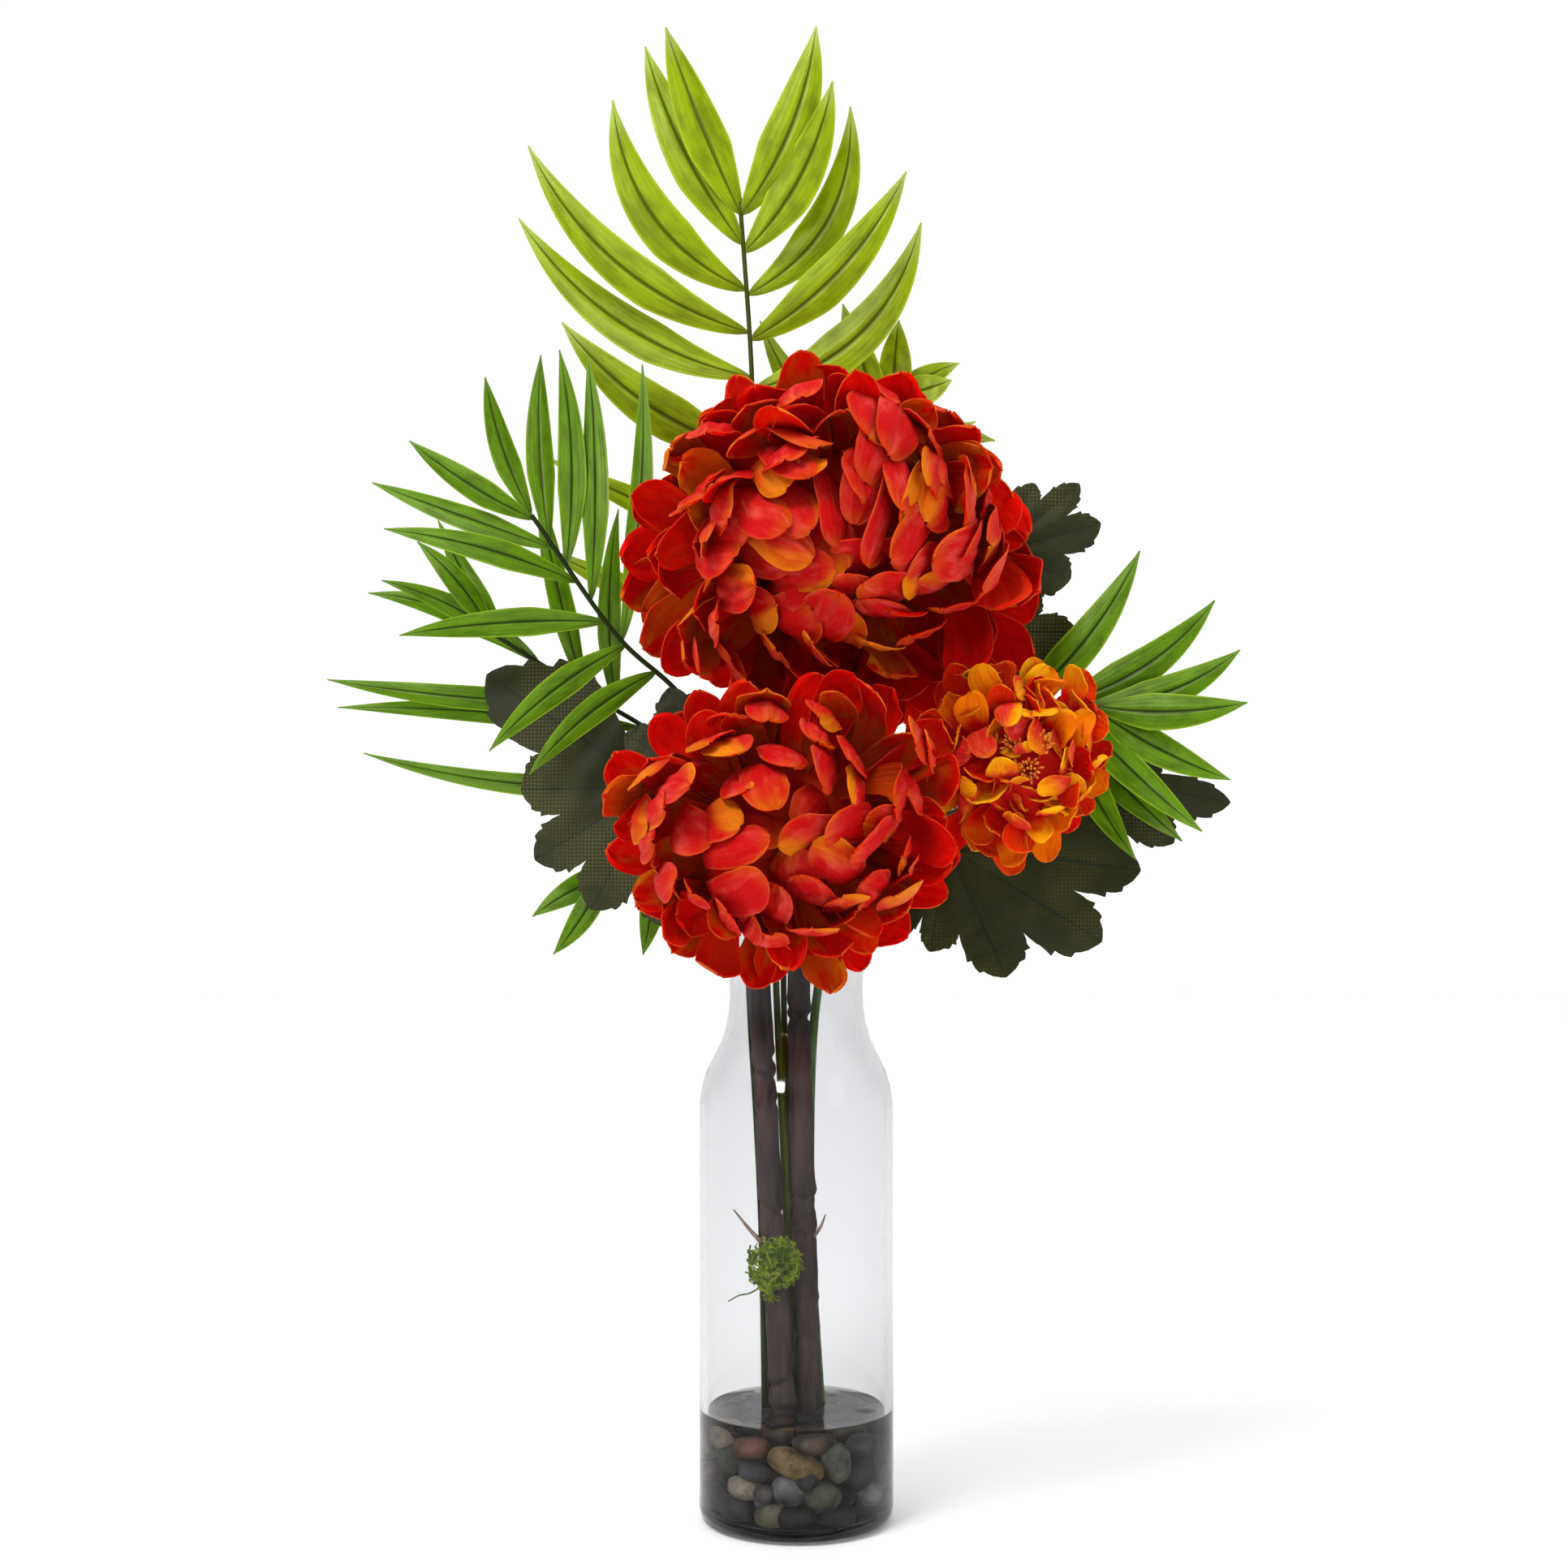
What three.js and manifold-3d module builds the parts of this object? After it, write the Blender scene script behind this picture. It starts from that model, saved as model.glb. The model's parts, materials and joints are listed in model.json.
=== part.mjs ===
// Chrysanthemums in a jar: a bottle-shaped glass vase holds clear water over river stones. In it stand
// two large red mums and a spray of small orange ones, with their lobed leaves, a tuft of moss on one
// stem, and six palm fronds behind and beside them.
//
// Everything is laid out in millimetres as it is seen from the front: x to the right, y up and z towards
// the viewer, with the origin at the centre of the vase's underside. The last lines turn that frame so
// that +Z is up.
import * as THREE from "three";
import { mergeVertices } from "three/addons/utils/BufferGeometryUtils.js";
import Module from "manifold-3d";

const wasm = await Module();
wasm.setup();

// ---------------------------------------------------------------- driving dimensions, in mm and degrees

const GAP = 0.3; // left between pieces that touch
const STEM_HOLE = 0.6; // how much wider than the stem its hole in the water and the moss is, on its radius
const STONE_HOLLOW = 0.4; // how much larger than the stone its hollow in the water is

const VASE = { radius: 38, wall: 3, floor: 4, footRadius: 34, footHeight: 4, segments: 24 };
// The outside of the shoulder, neck and lip, as radius and height.
const SHOULDER = [
  [38, 164],
  [34.8, 175],
  [29, 187],
  [26, 206],
  [27.2, 221],
  [29.5, 231],
];
const WATER_LEVEL = 42.5;

// A head: its centre, its half width, height and depth, how far it nods down and turns right, how wide
// its petals are in the middle and at the rim, how far from its axis each ring of them ends, in degrees,
// and how far forward its core reaches, over its depth.
const BIG_MUM = {
  seed: 11,
  centre: [14.5, 385, 27],
  size: [83, 70, 68],
  nod: 12,
  turn: 5,
  petalWidth: [23, 27],
  rings: [7, 23, 41, 60, 80, 100],
  coreFront: 0.72,
};
const FRONT_MUM = {
  seed: 5,
  centre: [-7, 268, 64],
  size: [66, 58, 56],
  nod: 5,
  turn: 4,
  petalWidth: [21, 24],
  rings: [8, 28, 51, 74, 96],
  coreFront: 0.72,
};
const SPRAY_MUM = {
  seed: 3,
  centre: [86.5, 293, 42],
  size: [33, 39, 32],
  nod: -16,
  turn: -5,
  petalWidth: [13, 13],
  rings: [32, 52, 73, 95],
  coreFront: 0.48,
};
const EYES = 3; // tufts of stamens in the spray
const PETAL_THICKNESS = 0.9;
const PETAL_CUP = 0.3; // how far a petal's edges are raised, over its half width

// Stems, as points from the foot to the head.
const BROWN_RADIUS = [4.9, 4];
const FRONT_STEM = [
  [-3.8, 21, 5],
  [-9.4, 117, 4],
  [-14.2, 205, 2],
  [-15, 232, 4],
  [-13.5, 254, 11],
];
const BIG_STEM = [
  [5.9, 21, -3],
  [3, 117, -3],
  [1.1, 205, -3],
  [2, 240, -7],
  [6, 300, -18],
  [10, 355, -26],
];
const GREEN_RADIUS = [2, 1.6];
const SPRAY_STEM = [
  [10.5, 27, -11],
  [5.5, 120, -10.6],
  [8.5, 205, -5.5],
  [17, 238, -3],
  [42, 266, 2],
];

// Palm fronds: the midrib's points from its foot to its tip, the leaflets' greatest width, and each
// leaflet as how far back from the midrib's tip it starts, its own tip, and how far it bows to its left
// as a share of its length.
const FRONDS = {
  palm_frond_top: {
    width: 12,
    rib: [
      [-1.5, 27, -7.4],
      [-3.6, 120, -3.6],
      [-7.8, 205, -1.5],
      [-9, 245, -9],
      [-14, 330, -30],
      [-17, 400, -36],
      [-18, 455, -36],
      [-22.5, 521, -30],
    ],
    leaflets: [
      [5, [-52, 588, -18], 0.06],
      [5, [8, 589, -20], -0.14],
      [17, [-60.8, 584, -30], 0.1],
      [20, [14.5, 565, -12], -0.16],
      [35, [-73.3, 560, -22], 0.3],
      [37, [22, 561, -34], -0.32],
      [52, [-108, 544, -30], 0.22],
      [55, [44, 531, -20], -0.16],
      [70, [-113, 517, -40], 0.2],
      [75, [50.6, 513, -30], -0.3],
      [100, [-94, 472, -26], 0.16],
    ],
  },
  palm_frond_back: {
    width: 10,
    rib: [
      [-0.6, 27, -11.4],
      [-1.5, 120, -10],
      [-5, 205, -6.5],
      [-4, 245, -18],
      [5, 330, -48],
      [22, 400, -56],
      [42, 446, -54],
    ],
    leaflets: [
      [0, [64, 452, -46], -0.1],
      [13, [19.4, 484, -50], 0.05],
      [4, [42.5, 477, -48], 0.04],
      [35, [-14.7, 479, -60], 0.1],
      [30, [81.6, 427, -44], 0.22],
      [13, [68, 461, -58], 0.14],
      [65, [75, 437, -60], 0.2],
      [78, [-105, 423, -62], 0.04],
      [104, [-105, 385, -60], 0.1],
      [95, [-74.6, 367, -52], -0.2],
    ],
  },
  palm_frond_left: {
    width: 8.6,
    rib: [
      [-6.8, 27, -5],
      [-10, 120, -5.5],
      [-15, 205, -7],
      [-16, 245, -10],
      [-28, 300, -14],
      [-49, 325, -13],
      [-69, 343, -10],
      [-104, 392, -4],
    ],
    leaflets: [
      [0, [-121.3, 445, 4], 0.06],
      [2, [-151.7, 421, -2], 0.05],
      [12, [-101, 456, -10], 0.05],
      [16, [-167, 405, -6], 0.03],
      [24, [-93, 457, -4], -0.07],
      [32, [-161, 386, 2], -0.05],
      [41, [-82.8, 457, -14], -0.07],
      [51, [-154, 344, 8], -0.07],
      [61, [-61, 453, -14], -0.06],
      [63, [-118, 299, 18], -0.1],
      [79, [-103, 290, 14], -0.12],
    ],
  },
  palm_frond_far_left: {
    width: 8,
    rib: [
      [-10, 27, -8.5],
      [-11, 120, -12],
      [-11.5, 205, -13],
      [-16, 245, -24],
      [-50, 300, -44],
      [-88, 325, -46],
      [-124, 348, -42],
    ],
    leaflets: [
      [0, [-154, 385, -38], -0.05],
      [8, [-147, 395, -48], 0.06],
      [15, [-168, 369, -34], -0.12],
      [23, [-176, 365, -50], -0.16],
      [45, [-106, 410, -50], 0.04],
      [53, [-191, 329, -40], 0.04],
      [60, [-72.5, 399, -44], 0.1],
      [75, [-189, 318, -52], -0.04],
      [105, [-177, 299, -44], 0.1],
    ],
  },
  palm_frond_low: {
    width: 8,
    rib: [
      [-12, 27, -2.5],
      [-14, 120, -2.5],
      [-19, 205, -3],
      [-22, 240, -12],
      [-44, 256, -34],
      [-78, 250, -42],
    ],
    leaflets: [
      [0, [-98.8, 217, -40], 0.12],
      [6, [-108, 232, -46], -0.1],
      [23, [-62, 217, -36], 0.06],
      [40, [-45, 216, -38], 0.05],
    ],
  },
  palm_frond_right: {
    width: 10,
    rib: [
      [4, 27, -13.4],
      [1.8, 120, -14.6],
      [4, 205, -14],
      [9, 245, -18],
      [50, 292, -24],
      [88, 316, -16],
      [118, 317, -6],
    ],
    leaflets: [
      [36, [135, 378, -4], -0.14],
      [18, [163, 358, 4], -0.2],
      [4, [174, 339, -2], -0.18],
      [0, [175, 318, 8], -0.1],
      [2, [169.5, 288, 2], -0.08],
      [11, [157, 268, 10], -0.06],
      [18, [151, 264, 0], -0.04],
      [16, [132, 257, 6], -0.1],
    ],
  },
};
const RIB_RADIUS = [1.4, 0.9];
const RIB_STEPS = 11;
const LEAFLET_CUP = -0.18; // how far a leaflet's edges hang back, over its half width

// Lobed leaves: the place of the blade's foot, how far the blade comes forward for each mm to the right
// and up, the lobes' tips in order round the blade, anticlockwise, and the points of its stalk down to
// the stem.
const LEAVES = {
  leaf_right_high: {
    foot: [80, 378, -8],
    slope: [-0.1, 0.15],
    lobes: [
      [84, 361],
      [109, 368],
      [121, 390],
      [112, 405],
      [94, 405],
    ],
    stalk: [
      [50, 372, -18],
      [15.8, 366, -25],
    ],
  },
  leaf_right_middle: {
    foot: [74, 347, -16],
    slope: [0.05, 0.1],
    lobes: [
      [86, 327],
      [112, 347],
      [97, 362],
    ],
    stalk: [
      [45, 342, -22],
      [13.2, 334, -23],
    ],
  },
  leaf_right: {
    foot: [108, 291, -14],
    slope: [-0.05, -0.2],
    lobes: [
      [120, 268],
      [150, 263],
      [174, 279],
      [146, 297],
      [124, 308],
    ],
    stalk: [
      [90, 284, -14],
      [62, 276, 3],
    ],
  },
  leaf_right_low: {
    foot: [60, 262, -16],
    slope: [0.1, -0.15],
    lobes: [
      [40, 226],
      [53, 220],
      [83, 210],
      [121, 224],
      [137, 252],
    ],
    stalk: [
      [45, 256, -14],
      [23, 246, -5.6],
    ],
  },
  leaf_left: {
    foot: [-57, 285, -24],
    slope: [0.05, -0.1],
    lobes: [
      [-126, 331],
      [-111, 284],
      [-105, 256],
      [-82, 236],
      [-52, 229],
    ],
    stalk: [
      [-38, 268, -18],
      [-18.5, 244, -1],
    ],
  },
  leaf_left_inner: {
    foot: [-34, 286, -2],
    slope: [-0.1, 0.1],
    lobes: [
      [-50, 324],
      [-67, 306],
      [-58, 282],
    ],
    stalk: [
      [-26, 268, 0],
      [-19, 250, 5],
    ],
  },
};
const LEAF_THICKNESS = 0.8;
const STALK_RADIUS = [1.1, 1.2];
const STALK_SUNK = 0.12; // how far a stalk runs on under its blade, over the middle lobe's length

// River stones seen from the front: x, height, half width, half height and tilt. They lie against the
// glass, and the same stones again, turned half round, fill the back.
const STONES = [
  [-1, 28, 10, 6, -25],
  [16, 26, 7.4, 7.8, 0],
  [-7, 16, 8, 7, 10],
  [6, 11.5, 8.4, 7, -8],
  [-21.5, 19, 7.6, 7, -20],
  [-17, 29.5, 8, 7, 15],
  [23, 14, 8, 8, 0],
];
const STONE_DEPTH = 8; // half of how deep a stone is
// Those under the stems.
const HEART = { count: 5, distance: 14.5, height: 11.2, halfWidth: 9.4, halfHeight: 6.6 };

const MOSS = { centre: [-8.5, 99, 12.5], radius: 9.5, strands: 8, reach: 14.5 };

// ---------------------------------------------------------------- small helpers

const rad = THREE.MathUtils.degToRad;
const mix = THREE.MathUtils.lerp;
const vec = (p) => new THREE.Vector3(...p);
const UP = new THREE.Vector3(0, 1, 0);
const FORWARD = new THREE.Vector3(0, 0, 1);

// A seeded draw of numbers from 0 to 1.
function random(seed) {
  let state = seed >>> 0;
  return () => {
    state = (state + 0x6d2b79f5) >>> 0;
    let t = state;
    t = Math.imul(t ^ (t >>> 15), t | 1);
    t ^= t + Math.imul(t ^ (t >>> 7), t | 61);
    return ((t ^ (t >>> 14)) >>> 0) / 4294967296;
  };
}

// A number from -1 to 1 out of a seeded draw.
const spread = (draw) => 2 * draw() - 1;

function toSolid(geometry) {
  const bare = new THREE.BufferGeometry();
  bare.setAttribute("position", geometry.getAttribute("position"));
  bare.setIndex(geometry.index);
  const merged = mergeVertices(bare, 1e-4);
  return new wasm.Manifold(
    new wasm.Mesh({
      numProp: 3,
      vertProperties: new Float32Array(merged.attributes.position.array),
      triVerts: new Uint32Array(merged.index.array),
    }),
  );
}

function toGeometry(solid) {
  const { numProp, vertProperties, triVerts } = solid.getMesh();
  const points = new Float32Array((vertProperties.length / numProp) * 3);
  for (let i = 0; i < points.length / 3; i++) {
    points.set(vertProperties.subarray(i * numProp, i * numProp + 3), i * 3);
  }
  const geometry = new THREE.BufferGeometry();
  geometry.setAttribute("position", new THREE.BufferAttribute(points, 3));
  geometry.setIndex(new THREE.BufferAttribute(new Uint32Array(triVerts), 1));
  geometry.computeVertexNormals();
  return geometry;
}

// The main body of a solid: loose scraps are dropped, and so is a sealed hollow, whose faces are a body
// of their own that is turned inside out.
function mainBody(solid) {
  return solid.decompose().reduce((best, one) => (one.volume() > best.volume() ? one : best));
}

function fuse(geometries) {
  return mainBody(geometries.map(toSolid).reduce((all, one) => all.add(one)));
}

// A closed round stalk along a curve, as a cylinder whose rings are moved onto the curve.
function stalk(points, radii, steps, sides) {
  const curve = new THREE.CatmullRomCurve3(points.map(vec), false, "centripetal");
  const frames = curve.computeFrenetFrames(steps, false);
  const geometry = new THREE.CylinderGeometry(1, 1, 1, sides, steps);
  const position = geometry.getAttribute("position");
  for (let i = 0; i < position.count; i++) {
    const ring = Math.round((0.5 + position.getY(i)) * steps);
    const radius = mix(radii[0], radii[1], ring / steps);
    const p = curve.getPointAt(ring / steps);
    p.addScaledVector(frames.binormals[ring], position.getX(i) * radius);
    p.addScaledVector(frames.normals[ring], position.getZ(i) * radius);
    position.setXYZ(i, ...p.toArray());
  }
  return geometry;
}

// ---------------------------------------------------------------- blades: petals, leaflets and leaves

// Triangles that join a row of points to the next one, which may hold more points or fewer.
function lace(a, b) {
  const made = [];
  let i = 0;
  let j = 0;
  while (i < a.length - 1 || j < b.length - 1) {
    const behind = (i + 1) / (a.length - 1) <= (j + 1) / (b.length - 1);
    if (j === b.length - 1 || (i < a.length - 1 && behind)) {
      made.push([a[i], a[i + 1], b[j]]);
      i++;
    } else {
      made.push([a[i], b[j + 1], b[j]]);
      j++;
    }
  }
  return made;
}

// A closed sheet of even thickness. Points are {p, n}: a point of the middle surface and its normal. Both
// faces take the same triangles, and the rim runs round the outline, whose points are listed
// anticlockwise.
function sheet(points, triangles, outline, thickness) {
  const sides = [0.5, -0.5];
  const faces = sides.flatMap((side) =>
    points.map(({ p, n }) => p.clone().addScaledVector(n, side * thickness)),
  );
  const count = points.length;
  const index = [];
  for (const [a, b, c] of triangles) {
    index.push(a, b, c, count + c, count + b, count + a);
  }
  outline.forEach((a, k) => {
    const b = outline[(k + 1) % outline.length];
    index.push(count + a, count + b, b, count + a, b, a);
  });
  const geometry = new THREE.BufferGeometry().setFromPoints(faces);
  geometry.setIndex(index);
  return geometry;
}

// A sheet given as rows of points across it, from its root to its tip.
function blade(rows, thickness) {
  let next = 0;
  const ids = rows.map((row) => row.map(() => next++));
  const triangles = ids.slice(1).flatMap((row, k) => lace(ids[k], row));
  const last = ids.length - 1;
  const right = ids.slice(1).map((row) => row[row.length - 1]);
  const tip = ids[last].slice(0, -1).reverse();
  const left = ids.slice(1, last).map((row) => row[0]).reverse();
  return sheet(rows.flat(), triangles, [...ids[0], ...right, ...tip, ...left], thickness);
}

// One row of a blade: count points across it, its edges raised towards its inner face by cup.
function across(centre, along, side, halfWidth, cup, count) {
  const inner = side.clone().cross(along).normalize();
  return Array.from({ length: count }, (_, k) => {
    const s = count === 1 ? 0 : (2 * k) / (count - 1) - 1;
    const p = centre.clone().addScaledVector(side, s * halfWidth);
    p.addScaledVector(inner, cup * halfWidth * s * s);
    const n = inner.clone().addScaledVector(side, -2 * cup * s).normalize();
    return { p, n };
  });
}

// A blade along a curve. Its rows say how far along each one is, its share of the full width and its points
// across.
const PETAL_ROWS = [
  [0, 0, 1],
  [0.5, 0.8, 3],
  [0.85, 0.95, 3],
  [1, 0.4, 2],
];
const SMALL_PETAL_ROWS = [
  [0, 0, 1],
  [0.72, 1, 3],
  [1, 0.5, 2],
];
const SEPAL_ROWS = [
  [0, 0.5, 2],
  [0.6, 1, 2],
  [1, 0, 1],
];
const LEAFLET_ROWS = [
  [0, 0, 1],
  [0.28, 1, 2],
  [0.68, 0.85, 2],
  [1, 0, 1],
];
function bladeAlong(curve, side, width, cup, shape, thickness) {
  const rows = shape.map(([t, share, count]) => {
    const along = curve.getTangent(t);
    const level = side.clone().addScaledVector(along, -side.dot(along)).normalize();
    return across(curve.getPoint(t), along, level, (share * width) / 2, cup, count);
  });
  return blade(rows, thickness);
}

// ---------------------------------------------------------------- flower heads

// The direction at a polar angle from a head's axis, +z, and an azimuth round it.
function direction(polar, azimuth) {
  const s = Math.sin(rad(polar));
  return new THREE.Vector3(s * Math.cos(azimuth), s * Math.sin(azimuth), Math.cos(rad(polar)));
}

function turnOf({ nod, turn }) {
  return new THREE.Quaternion().setFromEuler(new THREE.Euler(rad(nod), rad(turn), 0, "YXZ"));
}

// Draws a point of one head back towards its centre where it would reach another head: each pair of heads
// shares the space between their centres in the ratio of their sizes.
const HEAD_CLEARANCE = 2.5;
function drawnBack(head, others) {
  const centre = vec(head.centre);
  const turned = turnOf(head);
  const upright = turned.clone().invert();
  const walls = others.map((other) => {
    const away = vec(other.centre).sub(centre);
    const mine = head.size[0] + head.size[1];
    const theirs = other.size[0] + other.size[1];
    const limit = (away.length() * mine) / (mine + theirs) - HEAD_CLEARANCE;
    return { away: away.normalize(), limit };
  });
  return (point) => {
    point.applyQuaternion(turned);
    const shares = walls.map(({ away, limit }) => limit / Math.max(limit, point.dot(away)));
    return point.multiplyScalar(Math.min(1, ...shares)).applyQuaternion(upright);
  };
}

// The core of a head: a bun that is flatter behind.
const CORE = 0.48; // its radius over the head's
const CORE_BACK = 0.75; // how deep its back is over that radius
const flatBehind = (p) => p.setZ(p.z < 0 ? p.z * CORE_BACK : p.z);
function headCore(size, front) {
  const core = new THREE.SphereGeometry(1, 10, 8).rotateX(Math.PI / 2);
  const position = core.getAttribute("position");
  for (let i = 0; i < position.count; i++) {
    const p = flatBehind(new THREE.Vector3().fromBufferAttribute(position, i));
    position.setZ(i, p.z > 0 ? (p.z * front) / CORE : p.z);
  }
  return core.scale(...size.clone().multiplyScalar(CORE).toArray());
}

// A petal's curve on a head of radius 1. It starts on the core behind its tip, swings out and comes
// forward again: near the middle it leans in over the head, and at the rim it reaches out.
const LEAN = { root: 40, middle: 36, rim: 12 };
const OPEN_LEAN = { root: 16, middle: 14, rim: 8 };
function petalCurve(tipPolar, azimuth, reach, lean) {
  const share = Math.min(1, tipPolar / 100);
  const root = flatBehind(direction(tipPolar + lean.root, azimuth)).multiplyScalar(CORE * 0.8);
  const swing = direction(tipPolar + mix(lean.middle, lean.rim, share), azimuth);
  swing.multiplyScalar(reach * mix(1.16, 0.94, share));
  const tip = direction(tipPolar, azimuth).multiplyScalar(reach);
  return new THREE.QuadraticBezierCurve3(root, swing, tip);
}

// A double head: rings of petals round a core, each ring filling its circle, and outer rings lapping over
// inner ones.
const FILL = 0.85; // the petals' width over the ring's length
const INNER_REACH = 0.84; // how far out the middle petals' tips are, over the outermost ones'
const TWIST = 0.14; // each petal is turned a little on its own axis, so that it laps over the next one
// How uneven the petals are: round the ring as a share of its step, down from the axis in degrees, and in
// their reach, width and twist.
const UNEVEN = { around: 0.12, polar: 3.5, reach: 0.03, width: 0.1, twist: 0.08 };
function mumHead(head, others, lean, rows) {
  const draw = random(head.seed);
  const size = vec(head.size);
  const clear = drawnBack(head, others);
  const parts = [headCore(size, head.coreFront)];
  head.rings.forEach((polar, ring) => {
    const share = ring / (head.rings.length - 1);
    const reach = mix(INNER_REACH, 1, share);
    const petalWidth = mix(...head.petalWidth, share);
    const around = 2 * Math.PI * Math.sin(rad(polar)) * reach * Math.sqrt(size.x * size.y);
    const count = Math.max(3, Math.round((around * FILL) / petalWidth));
    const shape = share < 0.5 ? SMALL_PETAL_ROWS : rows;
    for (let k = 0; k < count; k++) {
      const azimuth = (2 * Math.PI * (k + 0.5 * (ring % 2) + UNEVEN.around * spread(draw))) / count;
      const tip = polar + UNEVEN.polar * spread(draw);
      const curve = petalCurve(tip, azimuth, reach * (1 + UNEVEN.reach * spread(draw)), lean);
      [curve.v0, curve.v1, curve.v2].forEach((p) => clear(p.multiply(size)));
      const side = new THREE.Vector3(Math.sin(azimuth), -Math.cos(azimuth), 0);
      side.applyAxisAngle(direction(tip, azimuth), TWIST + UNEVEN.twist * spread(draw));
      const width = petalWidth * (1 + UNEVEN.width * spread(draw));
      parts.push(bladeAlong(curve, side, width, PETAL_CUP, shape, PETAL_THICKNESS));
    }
  });
  return toGeometry(fuse(parts));
}

// An eye of the spray: a tuft of stamens on a button, which sits on the core inside the innermost petals.
const EYE_TILT = 17; // how far each eye is from the head's axis, in degrees
const STAMENS = 4;
function sprayEye(spray, k) {
  const button = new THREE.CylinderGeometry(2, 2.4, 2, 5).translate(0, 1, 0);
  const stamens = Array.from({ length: STAMENS }, (_, n) => {
    const stamen = new THREE.CylinderGeometry(0.7, 0.7, 7, 3).translate(0, 3.5, 0);
    return stamen.rotateX(rad(24)).rotateY((2 * Math.PI * n) / STAMENS).translate(0, 0.8, 0);
  });
  const eye = toGeometry(fuse([button, ...stamens]));
  const out = direction(EYE_TILT, (2 * Math.PI * (k + 0.25)) / EYES);
  const seat = out.clone().multiply(vec(spray.size)).multiplyScalar(CORE).addScaledVector(out, GAP);
  eye.applyQuaternion(new THREE.Quaternion().setFromUnitVectors(UP, out));
  return eye.translate(...seat.toArray());
}

// The green cup behind a head, on the end of its stem, with sepals spread under the petals.
const CALYX = { radius: 9, depth: 8, sepals: 5, sepalLength: 17, sepalWidth: 8 };
function calyx(head, stemRadius, scale) {
  const back = -head.size[2] * CORE * CORE_BACK - GAP;
  const cup = new THREE.CylinderGeometry(CALYX.radius * scale, stemRadius + 0.5, CALYX.depth * scale, 10);
  cup.rotateX(Math.PI / 2).translate(0, 0, back - (CALYX.depth * scale) / 2);
  const sepals = Array.from({ length: CALYX.sepals }, (_, k) => {
    const azimuth = (2 * Math.PI * k) / CALYX.sepals;
    const out = new THREE.Vector3(Math.cos(azimuth), Math.sin(azimuth), 0);
    const at = (r, z) => out.clone().multiplyScalar(r * scale).setZ(back + z * scale);
    const curve = new THREE.QuadraticBezierCurve3(at(5, -3), at(11, -3.5), at(CALYX.sepalLength, -2));
    const side = new THREE.Vector3(Math.sin(azimuth), -Math.cos(azimuth), 0);
    return bladeAlong(curve, side, CALYX.sepalWidth * scale, 0, SEPAL_ROWS, LEAF_THICKNESS);
  });
  return toGeometry(fuse([cup, ...sepals]));
}

// ---------------------------------------------------------------- stems

// The last points of a stem: it comes straight into the back of its calyx.
function stemEnd(head, scale) {
  const back = head.size[2] * CORE * CORE_BACK + CALYX.depth * scale + 2 * GAP;
  const turned = turnOf(head);
  return [back + 12, back].map((z) =>
    new THREE.Vector3(0, 0, -z).applyQuaternion(turned).add(vec(head.centre)).toArray(),
  );
}

// A woody stem with a side twig cut short.
const TWIG_RADIUS = [1.2, 0.5];
function woodyStem(points, radii, twig) {
  const parts = [stalk(points, radii, 12, 8), stalk(twig, TWIG_RADIUS, 2, 4)];
  return toGeometry(fuse(parts));
}

// ---------------------------------------------------------------- fronds and leaves

function leaflet(root, tip, bow, width, draw) {
  const way = vec(tip).sub(root);
  const left = FORWARD.clone().cross(way);
  const bend = root.clone().addScaledVector(way, 0.5).addScaledVector(left, bow);
  const path = new THREE.QuadraticBezierCurve3(root, bend, vec(tip));
  const side = way.clone().cross(FORWARD).normalize();
  side.applyAxisAngle(way.normalize(), 0.45 * spread(draw));
  return bladeAlong(path, side, width * (1 + 0.1 * spread(draw)), LEAFLET_CUP, LEAFLET_ROWS, LEAF_THICKNESS);
}

function frond({ rib, width, leaflets }, seed) {
  const draw = random(seed);
  const curve = new THREE.CatmullRomCurve3(rib.map(vec), false, "centripetal");
  const length = curve.getLength();
  // The rib is straight from ring to ring, and each leaflet's root is sunk in it.
  const onRib = (back) => {
    const steps = RIB_STEPS * (1 - back / length);
    const ring = Math.min(Math.floor(steps), RIB_STEPS - 1);
    const from = curve.getPointAt(ring / RIB_STEPS);
    return from.lerp(curve.getPointAt((ring + 1) / RIB_STEPS), steps - ring);
  };
  const blades = leaflets.map(([back, tip, bow]) => leaflet(onRib(back), tip, bow, width, draw));
  return toGeometry(fuse([stalk(rib, RIB_RADIUS, RIB_STEPS, 4), ...blades]));
}

// One side of a lobe's edge between the notch beside it and its tip: the share of the way to the tip, and
// the width there over that at the notch. Two forward teeth.
const TEETH = [
  [0.24, 0.96],
  [0.34, 1.04],
  [0.6, 0.66],
  [0.72, 0.72],
];
const NOTCH = 0.8; // how far out the notch between two lobes is, over their mean length
// The same for the lone sides of the outer lobes, and how far round.
const FOOT_NOTCH = { out: 0.55, angle: 0.5 };
const CURL = 0.12; // how far the tips curl back, over the leaf's reach
const PLEAT = 0.5; // how far the lobes' midribs are sunk and their edges raised

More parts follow.
